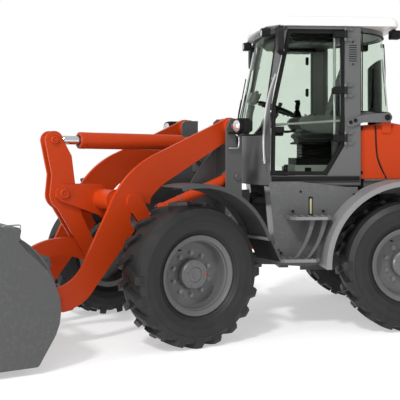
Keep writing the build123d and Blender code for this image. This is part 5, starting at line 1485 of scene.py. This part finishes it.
bm = bmesh.new()
c, shrink = v["cushion"], v["shrink"]
addBox(bm, (c["x"][0] + shrink, shrink - c["y"], c["z"][0] + 0.006),
       (c["x"][1] - shrink, c["y"] - shrink, c["z"][1] - shrink), 0.04, 4)
grown = blowUp("seatCushion", bm, cushionChannels)
cushion = makePiece("seatCushion", grown, "seatCloth", "chassis", smooth=70)
bm = bmesh.new()
addPlate(bm, v["back"], -0.2, 0.2, 0.03)
grown = blowUp("seatBackrest", bm, backChannels)
backrest = makePiece("seatBackrest", grown, "seatCloth", "chassis", smooth=70)
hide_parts("seat")
print("stage: seat")

# floor, lights and camera
floorValues = {"half": 60.0, "colour": (0.6, 0.6, 0.6), "drift": (0.585, 0.585, 0.585),
               "glow": 0.45}
bm = bmesh.new()
bmesh.ops.create_grid(bm, x_segments=1, y_segments=1, size=floorValues["half"])
mesh = bpy.data.meshes.new("floorPlane")
bm.to_mesh(mesh)
bm.free()
floorPlane = bpy.data.objects.new("floorPlane", mesh)
bpy.context.scene.collection.objects.link(floorPlane)
floorMaterial, tree, shader, coords = newMaterial("floorPale")
tree.links.new(mixAt(tree, noiseAt(tree, coords, 0.4, 2), floorValues["colour"], floorValues["drift"]),
               shader.inputs["Base Color"])
feed(tree, shader, Roughness=0.9, Specular_IOR_Level=0, Emission_Color=(1, 1, 1, 1),
     Emission_Strength=floorValues["glow"])
mesh.materials.append(floorMaterial)
floorPlane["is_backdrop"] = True

lightValues = {
    "sunTowards": (-0.55, -1.0, -1.2), "sunStrength": 1.75, "sunAngle": 7.0,
    "skyStrength": 0.64, "skySeen": 1.0, "softAim": (0, 0, 1.4),
    "softBoxes": (((3.0, 9.0, 5.5), 4.0, 95, 0.5), ((7.5, 5.5, 2.2), 3.0, 430, 0.3)),
}
sunData = bpy.data.lights.new("sun", "SUN")
sunData.energy = lightValues["sunStrength"]
sunData.angle = math.radians(lightValues["sunAngle"])
sun = bpy.data.objects.new("sun", sunData)
sun.rotation_mode = "QUATERNION"
sun.rotation_quaternion = Vector(lightValues["sunTowards"]).to_track_quat("-Z", "Y")
lamps = [sun]
for place, size, power, gloss in lightValues["softBoxes"]:
    boxData = bpy.data.lights.new("softBox", "AREA")
    boxData.shape = "DISK"
    boxData.size = size
    boxData.energy = power
    boxData.specular_factor = gloss
    softBox = bpy.data.objects.new("softBox", boxData)
    softBox.location = Vector(place) + steerAt
    softBox.rotation_mode = "QUATERNION"
    towards = Vector(lightValues["softAim"]) + steerAt - softBox.location
    softBox.rotation_quaternion = towards.to_track_quat("-Z", "Y")
    lamps.append(softBox)
for lamp in lamps:
    bpy.context.scene.collection.objects.link(lamp)

world = bpy.data.worlds.new("studioWorld")
bpy.context.scene.world = world
world.use_nodes = True
sky = world.node_tree
background = sky.nodes["Background"]
background.inputs["Color"].default_value = (1, 1, 1, 1)
path = addNode(sky, "ShaderNodeLightPath").outputs
seen = addNode(sky, "ShaderNodeMath", operation="MAXIMUM")
sky.links.new(path["Is Camera Ray"], seen.inputs[0])
sky.links.new(path["Is Transmission Ray"], seen.inputs[1])
strength = addNode(sky, "ShaderNodeMapRange", Value=seen.outputs[0], To_Min=lightValues["skyStrength"],
                   To_Max=lightValues["skySeen"])
sky.links.new(strength.outputs["Result"], background.inputs["Strength"])
bpy.context.scene.view_settings.view_transform = "Standard"

cameraValues = {
    "at": (1.406, 8.956, 1.785),      # from the articulation axis at the ground
    "turn": 4.937,                    # degrees off the machine's side
    "lens": 76.86, "sensor": 36.0, "shift": (0.01415, -0.1389),
}
cameraData = bpy.data.cameras.new("camera")
cameraData.lens = cameraValues["lens"]
cameraData.sensor_width = cameraValues["sensor"]
cameraData.shift_x, cameraData.shift_y = cameraValues["shift"]
camera = bpy.data.objects.new("camera", cameraData)
bpy.context.scene.collection.objects.link(camera)
camera.location = Vector(cameraValues["at"]) + steerAt
turn = math.radians(cameraValues["turn"])
camera.rotation_mode = "QUATERNION"
camera.rotation_quaternion = Vector((-math.sin(turn), -math.cos(turn), 0)).to_track_quat("-Z", "Y")
bpy.context.scene.camera = camera
print("stage: camera")

low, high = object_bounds()
